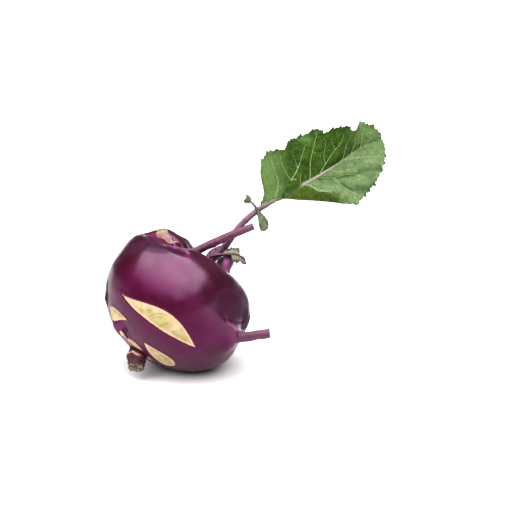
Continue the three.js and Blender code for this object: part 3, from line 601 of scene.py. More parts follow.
# The bark is knobbly but for its foot. The collar is a step with an uneven edge, highest on its torn side.
ROOT_CHANNELS = ["collar", "cut", "neck"]
points, out, share, angle, end = round_stalk(ROOT_ROUTE, ROOT_RADII, ROOT_ROWS, ROOT_COLUMNS, dome=0.5)
collar_edge = COLLAR_AT + COLLAR_TILT * np.cos(angle)
collar_edge += sum(height * np.sin(count * angle + start) for height, count, start in EDGE_WAVES)
past_edge = share - collar_edge
torn_side = 0.5 - 0.5 * np.cos(angle - 0.5)
bumps = uneven(points, BARK_WAVES)
bumps += RING_HEIGHT * np.sin(RINGS * share + 2 * np.sin(angle))
step_up = smoothstep(past_edge, -0.02, 0) * (1 - smoothstep(past_edge, 0, 0.2))
bumps += COLLAR_STEP * (0.3 + 0.7 * torn_side) * step_up
points = points + out * (bumps * (1 - end) * smoothstep(share, 0.2, 0.5))[..., None]
cut_relief = ((end > 0.05) & (share > 0.5)) * uneven(points, CUT_WAVES)
points = points + cut_relief[..., None] * unit(np.subtract(ROOT_ROUTE[-1], ROOT_ROUTE[-2]))
collar = smoothstep(past_edge, -0.03, 0) * (1 - smoothstep(past_edge, 0.03, 0.08))
collar = collar * smoothstep(torn_side, 0, 0.3)
neck = 1 - smoothstep(past_edge, -0.08, -0.03)
root_values = np.stack([collar, smoothstep(share, 0.88, 0.93), neck], axis=-1)
root_shell = closed_grid(plant_to_row(points), root_values)
make_piece("root_bark", [root_shell], ROOT_CHANNELS, root_material(), "root_stub")

# ---- The cut stalks -------------------------------------------------------------------------------------
# Two leaf stalks were cut off with a knife: a thick plum purple one above the crown and a short one, of a
# pinker violet, at the bulb's side. They are firm and fibrous and pale where cut; a pale band along one side
# paints the sheen of their bloom, and a dark line along another paints shade.
CROWN_ROUTE = [(-9.8, -3.4, 21), (-5.6, -5.2, 28.3), (-1.6, -6.8, 34.9), (6.2, -9, 47.1), (10.2, -9.6, 53)]
CROWN_RADII = [2.6, 2.1, 2.05, 2, 1.9, 1.8]
SIDE_ROUTE = [(27, -10.5, -2), (34.2, -14, 1.6), (39.1, -16.5, 4), (43.8, -17.5, 8.2), (48.8, -18.5, 12.6)]
SIDE_RADII = [5.5, 4.4, 2.7, 2.3, 2.3]
STALK_WAVES, SHEEN_REACH = [(0.08, 5.0, 3.0)], 0.45
# The bloom channel marks a painted sheen along one side, and the line channel a painted shade line.
STALK_CHANNELS = ["share", "cut", "bloom", "line", "angle_x", "angle_y"]
STALK_PLACES = ("Foot Ends", "Middle Starts", "Middle Ends", "Tip Starts")
STALK_COLOURS = ("Foot", "Middle", "Tip", "Pale", "Dark")
FACE_ROSE, FACE_BEIGE = (104, 72, 88), (136, 122, 108)


def stalk_skin_group():
    """Fibrous stalk skin: its colour runs from foot over middle to tip between four places along it.

    Faint pale and dark fibres run along it, a painted sheen along one side, and a painted shade line along
    another.
    """
    group = bpy.data.node_groups.new("stalk_skin", "ShaderNodeTree")
    sockets = [("INPUT", "Float", name) for name in ("Share", "Painted Sheen", "Line", *STALK_PLACES)]
    sockets += [("INPUT", "Vector", "Place"), ("INPUT", "Vector", "Fibre Place")]
    sockets += [("INPUT", "Color", name) for name in STALK_COLOURS]
    for in_out, kind, name in sockets + [("OUTPUT", "Color", "Colour"), ("OUTPUT", "Float", "Fibres")]:
        group.interface.new_socket(name, in_out=in_out, socket_type="NodeSocket" + kind)
    given = group.nodes.new("NodeGroupInput").outputs
    mottle, fibres = noise(given["Place"], 260.0, 4.0, 0.65), noise(given["Fibre Place"], 5.0, 4.0, 0.65)
    pale, dark = given["Pale"], given["Dark"]
    skin = painted(
        given["Foot"],
        (graded(given["Share"], given["Foot Ends"], given["Middle Starts"]), given["Middle"]),
        (graded(given["Share"], given["Middle Ends"], given["Tip Starts"]), given["Tip"]),
        (graded(mottle, 0.45, 0.75, 0.0, 0.4), dark),
        (graded(fibres, 0.52, 0.75, 0.0, 0.5), pale),
        (graded(fibres, 0.48, 0.3, 0.0, 0.5), dark),
        # Painted sheen along one side and a painted shade line along another.
        (reckon("MULTIPLY", given["Painted Sheen"], 0.4), pale),
        (reckon("MULTIPLY", given["Line"], 0.85), dark))
    plug(group.nodes.new("NodeGroupOutput"), {"Colour": skin, "Fibres": fibres})
    return group


def stalk_material(name, places, **colours):
    """Stalk skin with its own four places and its own colours, and a pale cut face."""
    material, tree, shader, place = new_material(name)
    share, cut, bloom, line, angle_x, angle_y = attributes(tree, *STALK_CHANNELS)
    along = reckon("MULTIPLY", share, 0.6)
    fibre_place = add(tree, "CombineXYZ", {0: angle_x, 1: angle_y, 2: along}).outputs[0]
    sockets = {"Share": share, "Painted Sheen": bloom, "Line": line, "Place": place, "Fibre Place": fibre_place}
    sockets |= dict(zip(STALK_PLACES, places))
    sockets |= {part.capitalize(): colour(*shade) for part, shade in colours.items()}
    skin = add(tree, "Group", sockets, node_tree=stalk_skin).outputs
    face = painted(FACE_ROSE, (graded(cut, 0.1, 0.5), FACE_BEIGE))
    surface = painted(skin["Colour"], (graded(cut, 0.0, 0.05), face))
    finish(shader, {"Base Color": surface, "Roughness": 0.45}, skin["Fibres"], strength=0.3, depth=0.0002)
    return material


def stalk_shell(route, radii, rows, columns, ribs, rib_height, sheen_side, shade_side, shade_reach, to_row):
    """A stalk with low ribs along it, and a painted sheen and a painted shade line along the sides given."""
    points, out, share, angle, end = round_stalk(route, radii, rows, columns, dome=0.25)
    off_sheen, off_shade = ((angle - side + np.pi) % (2 * np.pi) - np.pi for side in (sheen_side, shade_side))
    lift = rib_height * np.cos(ribs * angle + 3 * np.sin(3 * share)) + uneven(points, STALK_WAVES)
    points = points + out * (lift * (1 - end))[..., None]
    cut = np.where(share > 0.5, end, 0)
    # Where the painted sheen and the painted shade line lie round the stalk.
    bloom, line = bell(off_sheen, SHEEN_REACH), bell(off_shade, shade_reach)
    values = np.stack([share, cut, bloom, line, np.cos(angle), np.sin(angle)], axis=-1)
    return closed_grid(to_row(points), values)


stalk_skin = stalk_skin_group()
# Each stalk's pale colour also paints its sheen, and its dark colour its shade line.
plum = stalk_material("plum_stalk", (0.2, 0.5, 0.6, 1.0), foot=(74, 22, 54), middle=(90, 30, 66),
                      tip=(84, 44, 70), pale=(124, 80, 108), dark=(40, 14, 30))
orchid = stalk_material("orchid_stalk", (0.1, 0.3, 0.6, 1.0), foot=(66, 20, 46), middle=(82, 32, 62),
                        tip=(86, 34, 66), pale=(118, 76, 100), dark=(46, 8, 34))
crown_stalk = stalk_shell(CROWN_ROUTE, CROWN_RADII, rows=150, columns=72, ribs=9, rib_height=0.04,
                          sheen_side=0.8, shade_side=0.25, shade_reach=0.25, to_row=plant_to_row)
make_piece("cut_stalk_high", [crown_stalk], STALK_CHANNELS, plum, "cut_stalk_crown")
side_stalk = stalk_shell(SIDE_ROUTE, SIDE_RADII, rows=130, columns=72, ribs=7, rib_height=0.06,
                         sheen_side=0.4, shade_side=4.7, shade_reach=0.3, to_row=plant_to_row)
make_piece("cut_stalk_low", [side_stalk], STALK_CHANNELS, orchid, "cut_stalk_side")

# ---- The young leaves -----------------------------------------------------------------------------------
# A tuft of young leaves stands in the sunken crown. Each is a purple stalk that runs on as the midrib of a
# small pale green blade, whose margin is frilled and finely toothed.
LEAF_THICKNESS = 0.55
SMALL_BLADE_END, SMALL_BLADE_START, SMALL_BLADE_POWER, HALF_NARROWS = 0.16, 0.08, 0.7, 0.15
FINE_RUFFLE, FINE_RUFFLES, COMB_HEIGHT = 0.35, 2.7, 0.22
SIDE_VEINS, SIDE_VEIN_SLANT, SIDE_VEIN_HEIGHT, SIDE_VEIN_WIDTH = 9, 1.6, 0.12, 0.35
RIB_THICKNESS, SHEATHED_LEAF = 0.5, 2
BLADE_CHANNELS = ["vein", "rib", "away", "share", "flush"]
YOUNG_OLIVE, YOUNG_CREAM, YOUNG_SPECK, YOUNG_TIP = (74, 78, 56), (104, 106, 84), (88, 90, 58), (76, 72, 42)
YOUNG_FOOT, YOUNG_MAUVE, YOUNG_PLUM = (146, 112, 122), (150, 104, 132), (84, 44, 68)
YOUNG_MARGIN, YOUNG_VEIN, YOUNG_RIB = (66, 60, 40), (140, 130, 118), (54, 16, 38)

# Stalk route and radii; blade route, the way across it, width, fold, ruffles, their height, the shares of it
# at which its near half starts and its far half ends, and its flush.
YOUNG_LEAVES = [
    ([(2.5, -3, 17), (-0.7, -3.7, 25.7), (2.5, -6.8, 30), (8.7, -9.8, 34.3), (12.8, -10.9, 36.3),
      (16.1, -11.5, 36.3)], [1.5, 1.2, 0.8, 0.65, 0.6],
     [(6.2, -8.3, 32.7), (9.4, -10, 35), (12.8, -10.9, 36.3), (16.1, -11.5, 36.3), (18.3, -12.1, 34.7)],
     (-0.45, 0.4, 0.8), 8.4, -0.12, 4, 0.5, 0.3, 0.62, 0.0),
    ([(9, -3, 18), (12.5, -5.6, 25.9), (11.3, -5.6, 28.2), (10.3, -5.4, 30.6), (9.2, -4.8, 34.4)],
     [2.2, 2.1, 1.9, 2.1, 2.8, 2.3],
     [(9.4, -4.8, 32.6), (8.4, -3.6, 34.8), (8.6, -2.2, 36.8), (10.4, -0.8, 37.8)],
     (0.8, 0.5, -0.3), 6, 0.3, 4, 0.5, -1, 2, 0.5),
    ([(-2, 6, 17), (-1, 5.6, 27.6), (1.2, 5.6, 35.6)], [1.4, 1, 0.7],
     [(-1, 5, 27), (0.1, 4.8, 32.4), (1.4, 4.8, 35.8), (3, 4.6, 39.2)],
     (1, 0.3, -0.6), 4.6, 0.3, 5, 0.6, -1, 2, 1.0),
    ([(3, 3, 17), (5.8, 4, 25.5), (6, 4.4, 29.5), (5.4, 4.8, 33)], [1.7, 1.4, 1.2, 0.9],
     [(6.2, 5, 28), (6.4, 5.2, 31.5), (7.6, 6, 34), (9.4, 7, 35.4)],
     (1, 0.6, -0.4), 5, 0.4, 3, 0.5, -1, 2, 0.7),
]


def sheet_shell(middle, thickness, values, to_row):
    """A thin closed sheet: both faces lie half its thickness off its middle surface, and a rim joins them."""
    lengthways, sideways = np.gradient(middle, axis=0), np.gradient(middle, axis=1)
    out = unit(np.cross(lengthways, sideways)) * thickness[..., None] / 2
    both = np.concatenate([middle + out, (middle - out)[:, ::-1]], axis=1)
    return closed_grid(to_row(both), np.concatenate([values, values[:, ::-1]], axis=1), "seam")


def small_blade(route, across, width, fold, ruffles, ruffle, near_starts, far_ends, flush,
                rows, columns, teeth, tooth_size, fullness, to_row):
    """A small leaf blade along its midrib: folded halves, and margins ruffled and finely toothed like a comb.

    The half width follows a power of a sine along the blade, whose peak the fullness moves to the tip. The
    near half widens from nothing where it starts, and the far half narrows to nothing where it ends. The fold
    lifts both halves, and the ruffles grow with the square of the distance from the midrib.
    """
    s, v = np.meshgrid(np.linspace(0, 1, rows), np.linspace(0, 1, columns), indexing="ij")
    rib = smooth_path(route, s[:, 0])
    along = unit(np.gradient(rib, axis=0))
    face = unit(np.cross(along, np.array(across, float)))
    side = np.cross(face, along)
    reach = 2 * v - 1
    away = np.abs(reach)
    swelling = SMALL_BLADE_START + (1 - SMALL_BLADE_START) * s ** fullness
    bulge = np.sin(np.pi * swelling).clip(0) ** SMALL_BLADE_POWER
    bulge *= 1 - smoothstep(s, far_ends - HALF_NARROWS, far_ends) * smoothstep(reach, 0.0, 0.01)
    bulge *= 1 - smoothstep(-s, -near_starts - HALF_NARROWS, -near_starts) * smoothstep(-reach, 0.0, 0.01)
    teeth_out = tooth_size * ((s * teeth + 0.5 * np.sign(reach)) % 1 - 0.5) * away ** 4
    half = width / 2 * (SMALL_BLADE_END + (1 - SMALL_BLADE_END) * bulge) * (1 + teeth_out)
    frill = ruffle * reach ** 2 * np.sin(2 * np.pi * ruffles * s + np.sign(reach))
    fine_frill = np.sin(2 * np.pi * FINE_RUFFLES * ruffles * s + 2 * np.sign(reach))
    comb = np.sin(2 * np.pi * (teeth * s + 2 * away))
    frill += FINE_RUFFLE * ruffle * away ** 3 * fine_frill + COMB_HEIGHT * away ** 2 * comb
    off_side_vein = 1 - 2 * np.abs((SIDE_VEINS * s - SIDE_VEIN_SLANT * away) % 1 - 0.5)
    lift = fold * half * away + frill + SIDE_VEIN_HEIGHT * (1 - off_side_vein) * away
    middle = rib[:, None] + side[:, None] * (half * reach)[..., None] + face[:, None] * lift[..., None]
    vein = bell(off_side_vein, SIDE_VEIN_WIDTH) * (1 - away ** 3)
    values = [vein, bell(away * half, 0.5), away * (0.9 + 0.3 * comb), s, np.full_like(s, flush)]
    thickness = LEAF_THICKNESS * (1 - 0.5 * away ** 2) + RIB_THICKNESS * bell(away * half, 0.4)
    return sheet_shell(middle, thickness, np.stack(values, axis=-1), to_row)


def young_material():
    """Olive and cream leaf with pale veins and dark margins, flushed with mauve at its foot or all over."""
    material, tree, shader, place = new_material("young_leaf")
    vein, rib, away, share, flush = attributes(tree, *BLADE_CHANNELS)
    mottle, fine = noise(place, 500.0, 4.0, 0.6), noise(place, 1500.0, 3.0, 0.6)
    mauve = painted(YOUNG_MAUVE, (graded(fine, 0.35, 0.65), YOUNG_PLUM))
    veined = reckon("MULTIPLY", graded(vein, 0.3, 0.9), graded(flush, 0.0, 0.5, 0.8, 0.2))
    leaf = painted(
        YOUNG_OLIVE,
        (graded(mottle, 0.35, 0.65), YOUNG_CREAM),
        (graded(fine, 0.5, 0.7, 0.0, 0.8), YOUNG_SPECK),
        (graded(share, 0.35, 0.0, 0.0, 0.7), YOUNG_FOOT),
        (graded(share, 0.4, 0.65, 0.0, 0.7), YOUNG_TIP),
        (flush, mauve),
        (graded(away, 0.55, 1.0, 0.0, 0.8), YOUNG_MARGIN),
        (veined, YOUNG_VEIN),
        (graded(rib, 0.3, 0.7), YOUNG_RIB))
    finish(shader, {"Base Color": leaf, "Roughness": 0.55}, fine, strength=0.4, depth=0.0002)
    return material


def add_stalked_leaf(name, stalk, blade, materials, node):
    """One object of a stalk and the blade that it carries, each with its own material."""
    names = list(dict.fromkeys(STALK_CHANNELS + BLADE_CHANNELS))
    padded = []
    for (points, values, quads, triangles), own_names in ((stalk, STALK_CHANNELS), (blade, BLADE_CHANNELS)):
        every = np.zeros((len(points), len(names)))
        every[:, [names.index(own_name) for own_name in own_names]] = values
        padded.append((points, every, quads, triangles))
    piece = make_piece(name, padded, names, materials[0], node)
    piece.data.materials.append(materials[1])
    on_blade = np.arange(len(piece.data.polygons)) >= len(stalk[2]) + len(stalk[3])
    piece.data.polygons.foreach_set("material_index", on_blade.astype(np.int32))


# The young stalks' dark colour also paints the shade along one side of each.
violet = stalk_material("violet_stalk", (0.2, 0.5, 0.55, 0.7), foot=(96, 52, 78), middle=(92, 50, 74),
                        tip=(40, 8, 28), pale=(118, 80, 100), dark=(30, 8, 22))
# The sheath's pale pink foot paints a highlight where it leaves the rim.
sheath = stalk_material("sheath", (0.5, 0.62, 0.8, 1.0), foot=(158, 122, 136), middle=(120, 46, 104),
                        tip=(110, 62, 92), pale=(156, 100, 140), dark=(46, 8, 36))
young_green = young_material()
for k, (stalk_route, stalk_radii, *blade_form) in enumerate(YOUNG_LEAVES, 1):
    stalk = stalk_shell(stalk_route, stalk_radii, rows=90, columns=36, ribs=5, rib_height=0.05,
                        sheen_side=0.7, shade_side=2.9, shade_reach=0.8, to_row=plant_to_row)
    blade = small_blade(*blade_form, rows=260, columns=61, teeth=26, tooth_size=0.3, fullness=1.0,
                        to_row=plant_to_row)
    skins = (sheath if k == SHEATHED_LEAF else violet, young_green)
    add_stalked_leaf(f"frilled_leaf_{k}", stalk, blade, skins, f"young_leaf_{k}")

# ---- The large leaf -------------------------------------------------------------------------------------
# One grown leaf was left on: a long slender stalk that rises out of the crown, runs on as the midrib, and
# carries a broad toothed blade. Its blade is folded to a channel, and one half rolls back near the stalk.
LEAF_BASE = np.array([47.2, 13, 84])
LEAF_STANDS, LEAF_TURNED_BACK = 75.0, 8.0
LEAF_STALK_ROUTE = [(-43, -37.5, -8.4), (-36.2, -30.8, -7.3), (-30, -25, -6.9), (-20.6, -13.3, -5),
                    (-12, -5.8, -2.7), (-3, -0.9, -0.6), (1.6, 0.6, 0)]
LEAF_STALK_RADII = [2.8, 2, 1.9, 1.7, 1.6, 1.4, 0.7]


def leaf_to_row(points):
    """Stands the leaf's frame up, turns its far end to the back, moves it to its base, and gives metres."""
    return (points @ (turning(2, LEAF_TURNED_BACK) @ turning(0, LEAF_STANDS)).T + LEAF_BASE) * MM


# Its near-black dark colour paints the shade along the stalk's underside, and its dark fibres.
mauve = stalk_material("mauve_stalk", (0.3, 0.5, 0.55, 0.95), foot=(84, 26, 60), middle=(118, 76, 100),
                       tip=(126, 112, 112), pale=(146, 124, 138), dark=(16, 2, 10))
long_stalk = stalk_shell(LEAF_STALK_ROUTE, LEAF_STALK_RADII, rows=240, columns=64, ribs=8, rib_height=0.04,
                         sheen_side=5.5, shade_side=1.15, shade_reach=0.7, to_row=leaf_to_row)
make_piece("long_stalk", [long_stalk], STALK_CHANNELS, mauve, "leaf_stalk")

# The blade's midrib and the edges of its two halves, in the leaf's frame, from the stalk to the tip.
MIDRIB = [(-8.3, -3.8, -1.8), (-3, -1, -0.6), (1.5, 0.5, 0), (10.9, 6.4, 0),
          (20.3, 11.4, 0), (31.8, 18, 0), (41.3, 24, 0), (52, 28.4, 0)]
UPPER_EDGE = [(-10.8, -2.6), (-8.5, 2), (-9, 6.5), (-10.3, 11), (-10.4, 15), (-9.4, 20), (-6, 24),
              (-3.9, 23.2), (-1.4, 24.4), (0.6, 23.9), (2.6, 26.4), (4.6, 29.1), (7, 29.6), (11.3, 31.3),
              (15, 32.6), (18.5, 34), (20.3, 33), (22, 31.8), (24.5, 32.9), (28.5, 34.4), (33.7, 34.6),
              (38, 32.9), (39.4, 33.6), (40.9, 37.4), (44.2, 36), (48, 34.4), (50.5, 32.4), (52.2, 29.8),
              (52.8, 28.4)]
LOWER_EDGE = [(-7.8, -4.6), (-3, -1.8), (1.2, -0.4), (9.5, -1.1), (17.3, -1.9), (25.8, -3.2), (31.5, -4.6),
              (35, -4.7), (37.3, -5.2), (38.2, -3.6), (40.4, -1.5), (42.5, 0.8), (45, 3.5), (47.2, 6),
              (48.6, 9), (50.3, 12), (52, 15.5), (52.9, 19.5), (53.5, 24), (53, 27.6)]
UPPER_TEETH, LOWER_TEETH, TOOTH_LENGTH, TOOTH_NOTCH = 30, 27, 1.7, 1.0
UPPER_SLOPE, LOWER_SLOPE = 0.28, 0.55
ROLL_DEPTH, ROLL_BEGINS, ROLL_DEEPENS, ROLL_FADES, ROLL_ENDS = 5.0, 0.1, 0.2, 0.28, 0.62
FLAT_BEND, ROLL_BEND = 0.3, 3.1
WAVE_HEIGHT, WAVES, WAVE_WIDTH = 1.3, 3.5, 10.0
RUFFLE_HEIGHT, RUFFLES = 0.45, 11.3
PUCKER_HEIGHT, PUCKER_LENGTH, PUCKER_WIDTH = 0.9, 6.0, 8.0
SPINE_THICKNESS, SPINE_WIDTH, VEIN_THICKNESS, VEIN_GROOVE = 1.4, 1.6, 0.35, 0.12
FAR_OFF = 50.0  # the furthest from a vein that vein_nearness tells apart

# Side veins, each with the points that it runs through in the leaf's frame and its width at its foot.
VEINS = [
    (0.55, [(-6, -2.5), (-3.2, 0.1), (-1.5, 8.7), (-3.2, 12.9), (-5.4, 20.3)]),
    (0.7, [(5, 8.6), (8.5, 14.5), (11.1, 22.4), (12.5, 26.4)]),
    (0.4, [(8.5, 14.5), (7, 18.6), (5.7, 22.2)]),
    (0.4, [(4.8, 8.8), (1.8, 13.3), (0, 17.7), (-1, 22)]),
    (0.4, [(9.4, 5.6), (9.7, 7.2), (9.9, 12.6)]),
    (0.6, [(14.6, 8.4), (15, 12), (14.9, 16.7), (15.9, 22.5), (17.6, 29.4), (18.1, 32.5)]),
    (0.35, [(15.8, 22.3), (19.3, 21.8), (20.5, 18.5)]),
    (0.6, [(19.6, 11), (23.3, 17.2), (27.6, 23.1), (31.3, 27.8), (32, 31)]),
    (0.4, [(22.8, 16.5), (21.8, 20.9), (22.6, 25.1), (22, 30)]),
    (0.4, [(30.6, 17.4), (31.9, 18.7), (33.7, 25.5), (36, 30)]),
    (0.35, [(27.7, 23.3), (26, 27), (26, 31)]),
    (0.4, [(41, 23.8), (42, 27.4), (42.1, 30.8), (43, 34)]),
    (0.4, [(36, 20.8), (38, 25.5), (38.6, 30)]),
    (0.6, [(10.7, 6.3), (15, 5), (18.7, 2.5), (22.6, 1.9), (28, 0)]),
    (0.55, [(18.5, 10.3), (19.9, 9.6), (26.6, 9.1), (30.2, 10), (36.6, 10.4), (45.6, 5.7)]),
    (0.45, [(26.6, 9.1), (30.1, 4.9), (35.5, 1), (41, -2.2)]),
    (0.5, [(31.6, 17.9), (34.1, 18.2), (38.6, 18.7), (43, 19.2), (51.4, 18.7)]),
    (0.4, [(25.8, 14.3), (27.6, 12.2), (34, 12.7), (39, 14.2), (42.4, 14.6), (48.5, 12)]),
    (0.35, [(42, 24.4), (46, 24.6), (51, 23.5)]),
]

# The edge over which the lower half curls up near the stalk, roughly the cosine of its slope, where along
# the blade the curl fades, and its reach; and marks on the blade: kind, height, reach, strength and course.
# Shade marks paint shade along valleys, beside the midrib and on the roll, and darken patches; light marks
# make patches paler; edge marks paint a highlight along the curl's edge.
CURL_EDGE = np.array([(1.5, 0.5), (3.2, 5), (5.3, 9), (10, 7.3), (11.6, 6.5), (15.1, 5.5), (19.4, 2.7),
                      (24.5, 2), (29, 0.7), (33, -4)])
CURL_COSINE, CURL_FADES, CURL_REACH = 0.85, (26, 31), 3.5
LEAF_MARKS = [
    ("shade", -0.3, 1.0, 0.9, [(19.9, 9.1), (26.7, 9.1), (31.7, 9.8), (37.1, 10.4)]),
    ("shade", -0.3, 1.0, 0.8, [(30.6, 5.3), (34.7, 2.6)]),
    ("shade", 0.0, 2.0, 0.8, [(37.7, 3.5), (42.1, 2.8), (44.5, 4.2)]),
    ("shade", 0.0, 1.5, 0.7, [(39.7, 12.1), (44.5, 12.4), (49.2, 12.6)]),
    ("shade", 0.0, 2.2, 0.7, [(7, 18.6), (9.6, 17.1), (15.8, 16)]),
    ("shade", 0.0, 2.5, 0.6, [(32.8, 30.4), (35.7, 25.5)]),
    ("shade", -0.2, 1.3, 0.8, [(21.2, 12.9), (26.4, 16.3), (33.2, 20.9), (41.1, 25.4)]),
    ("light", 0.0, 1.8, 0.7, [(10.6, 29.3), (13.6, 28.3)]),
    ("light", 0.0, 3.2, 0.8, [(42.4, 35), (45.7, 32), (49.5, 29)]),
    ("shade", 0.0, 1.4, 0.9, [(18.5, 0.9), (21, 0.4), (23.8, -0.4), (27, -1.8)]),
    ("light", 0.0, 2.0, 0.6, [(-9.1, 15.1), (-8.2, 11)]),
    ("light", 0.1, 1.0, 0.6, [(0, 6), (-2.6, 3), (-6, 0)]),
    # Painted highlight along the lit edge of the curl.
    ("edge", 0.1, 0.35, 0.7, [(14.5, 6), (16.9, 4.4), (19.4, 3), (22, 2.5), (24.5, 2.3)]),
    ("edge", 0.1, 0.4, 0.6, [(5.5, 9.1), (7.5, 8.9)]),
]


def vein_nearness(points, veins):
    """How near each point lies to the veins, seen square to the blade: 1 on one, 0 at its edge, less beyond.

    A vein narrows along it to a third of its width. Also gives how far each point is from the nearest vein.
    """
    nearest = np.full(points.shape[:-1], -FAR_OFF)
    clearance = np.full(points.shape[:-1], FAR_OFF)
    for width, course in veins:
        line = smooth_path(course, np.linspace(0, 1, 4 * len(course)))[:, :2]
        for k, (start, end) in enumerate(zip(line[:-1], line[1:])):
            distance, share = off_stretch(points, start, end)
            local = 0.62 * width * (1 - 0.67 * (k + share) / (len(line) - 1))
            nearest = np.maximum(nearest, 1 - distance / local)
            clearance = np.minimum(clearance, distance)
    return nearest, clearance


def tooth(along, teeth):
    """How far teeth stand out at a share of the margin: long rises and short drops, with finer ones on them.

    All of it is moved in by the depth of the notches.
    """
    place = along * teeth + 0.35 * np.sin(9 * along * np.pi) + 0.2 * np.sin(23 * along * np.pi)
    count = np.floor(place)
    ramp = place - count
    size = 0.62 + 0.38 * np.sin(2.4 * count)
    fine = (3.1 * place) % 1
    coarse = np.minimum(ramp / 0.68, (1 - ramp) / 0.32)
    finer = 0.5 * np.minimum(fine / 0.6, (1 - fine) / 0.4)
    return TOOTH_LENGTH * size * coarse ** 1.3 + finer - TOOTH_NOTCH


def large_blade(rows, half_columns):
    """The blade's middle surface, its thickness and its channels.

    Each half is straight from the midrib to its edge, and then sloped towards the front. Near the stalk the
    lower half bends through half a turn and so rolls back. The margins wave, and the blade puckers up between
    the veins.
    """
    v = np.concatenate([np.linspace(-1, 0, half_columns), np.linspace(0, 1, half_columns)[1:]])
    s, reach = np.meshgrid(np.linspace(0, 1, rows), v, indexing="ij")
    away, upper = np.abs(reach), reach >= 0
    along_rib = s ** 2
    rib = smooth_path(MIDRIB, along_rib[:, 0])[:, None]
    upper_edge = smooth_path(UPPER_EDGE, s[:, 0])[:, None]
    lower_edge = smooth_path(LOWER_EDGE, along_rib[:, 0])[:, None]
    ruling = np.where(upper[..., None], upper_edge, lower_edge) - rib
    ruling[..., 2] = 0
    width = np.linalg.norm(ruling, axis=-1)
    roll = np.where(upper, 0, 1 - smoothstep(along_rib, ROLL_FADES, ROLL_ENDS))
    teeth = np.where(upper, tooth(s, UPPER_TEETH), tooth(along_rib, LOWER_TEETH) * (1 - roll))
    ruling *= (1 + teeth * away ** 6 / width)[..., None]
    bend = FLAT_BEND + (ROLL_BEND - FLAT_BEND) * roll
    out = np.sin(bend * away) / np.sin(np.minimum(bend, np.pi / 2))
    depth = roll * ROLL_DEPTH * smoothstep(along_rib, ROLL_BEGINS, ROLL_DEEPENS)
    slope = np.where(upper, UPPER_SLOPE * away, LOWER_SLOPE * out) * width
    full = np.minimum(1, width / WAVE_WIDTH) * (1 - roll)
    wave = WAVE_HEIGHT * full * away ** 2 * np.sin(2 * np.pi * WAVES * s)
    wave += RUFFLE_HEIGHT * full * away ** 4 * np.sin(2 * np.pi * RUFFLES * s + 2 * np.sin(9 * s))
    middle = rib + ruling * out[..., None]
    middle[..., 2] = rib[..., 2] + slope - depth * (1 - np.cos(bend * away)) + wave
    flat = middle[..., :2]
    nearness, clearance = vein_nearness(flat, VEINS)
    rib_distance = np.linalg.norm(middle - rib, axis=-1)
    clearance = np.minimum(clearance, rib_distance)
    varied = 0.7 + 0.5 * waves(flat @ np.eye(2, 3), PUCKER_LENGTH, 1.0)
    pucker = PUCKER_HEIGHT * (1 - bell(clearance, 2.0)) * varied * np.minimum(1, width / PUCKER_WIDTH)
    middle[..., 2] += pucker - VEIN_GROOVE * bell(clearance, 0.5)
    under_curl = CURL_COSINE * (np.interp(flat[..., 0], *CURL_EDGE.T) - flat[..., 1])
    curl = smoothstep(under_curl, -0.2, 0.5) * (1 - smoothstep(flat[..., 0], *CURL_FADES))
    curl *= flat[..., 0] >= CURL_EDGE[0, 0]
    middle[..., 2] += curl * bell(under_curl, CURL_REACH)
    tones = {kind: np.zeros_like(s) for kind in ("shade", "light", "edge")}
    for kind, mark_height, mark_reach, strength, course in LEAF_MARKS:
        here = near_line(flat, np.array(course, float), mark_reach)
        middle[..., 2] += mark_height * here
        tones[kind] = np.maximum(tones[kind], strength * here)
    rib_nearness = 1 - rib_distance / (SPINE_WIDTH * (1 - 0.8 * along_rib) + 0.1)
    thickness = LEAF_THICKNESS * (1 - 0.4 * away ** 2) + VEIN_THICKNESS * bell(clearance, 0.45)
    thickness += SPINE_THICKNESS * (1 - 0.85 * along_rib) * bell(rib_distance, 1.0)
    toothed = (teeth + TOOTH_NOTCH) * away ** 6 * smoothstep(away, 0.85, 1.0)
    values = [nearness, rib_nearness, reach, toothed, curl, *tones.values(), *(flat * MM).transpose(2, 0, 1)]
    return middle, thickness, np.stack(values, axis=-1)


# The blade's colours above the midrib, painted darker as in shade, below it, painted paler as lit, where it
# curls, painted as shade, in its marks of painted shade, paler patches and painted highlight, in its veins,
# and on the midrib.
SHADED_HALF_DEEP, SHADED_HALF_GREEN, SHADED_HALF_OLIVE = (28, 56, 0), (66, 94, 14), (66, 94, 24)
LEAF_FOOT, LEAF_TIP = (112, 138, 84), (116, 136, 92)
LIT_HALF_DARK, LIT_HALF_PALE, LIT_HALF_OLIVE = (86, 106, 66), (110, 128, 92), (68, 96, 40)
CURL_SHADE_DARK, CURL_SHADE_GREEN = (44, 62, 4), (78, 94, 18)
LEAF_SHADE, LEAF_LIGHT, LEAF_CURL_HIGHLIGHT = (32, 56, 8), (108, 134, 84), (156, 172, 128)
LEAF_NET, LEAF_VEIN, LEAF_TOOTH = (112, 138, 74), (150, 170, 116), (40, 54, 26)
SPINE_FOOT, SPINE_ROSE, SPINE_BEIGE = (74, 92, 46), (166, 154, 146), (136, 134, 116)
LEAF_CHANNELS = ["vein", "rib", "half", "toothed", "curl", "shade", "light", "edge", "leaf_x", "leaf_y"]


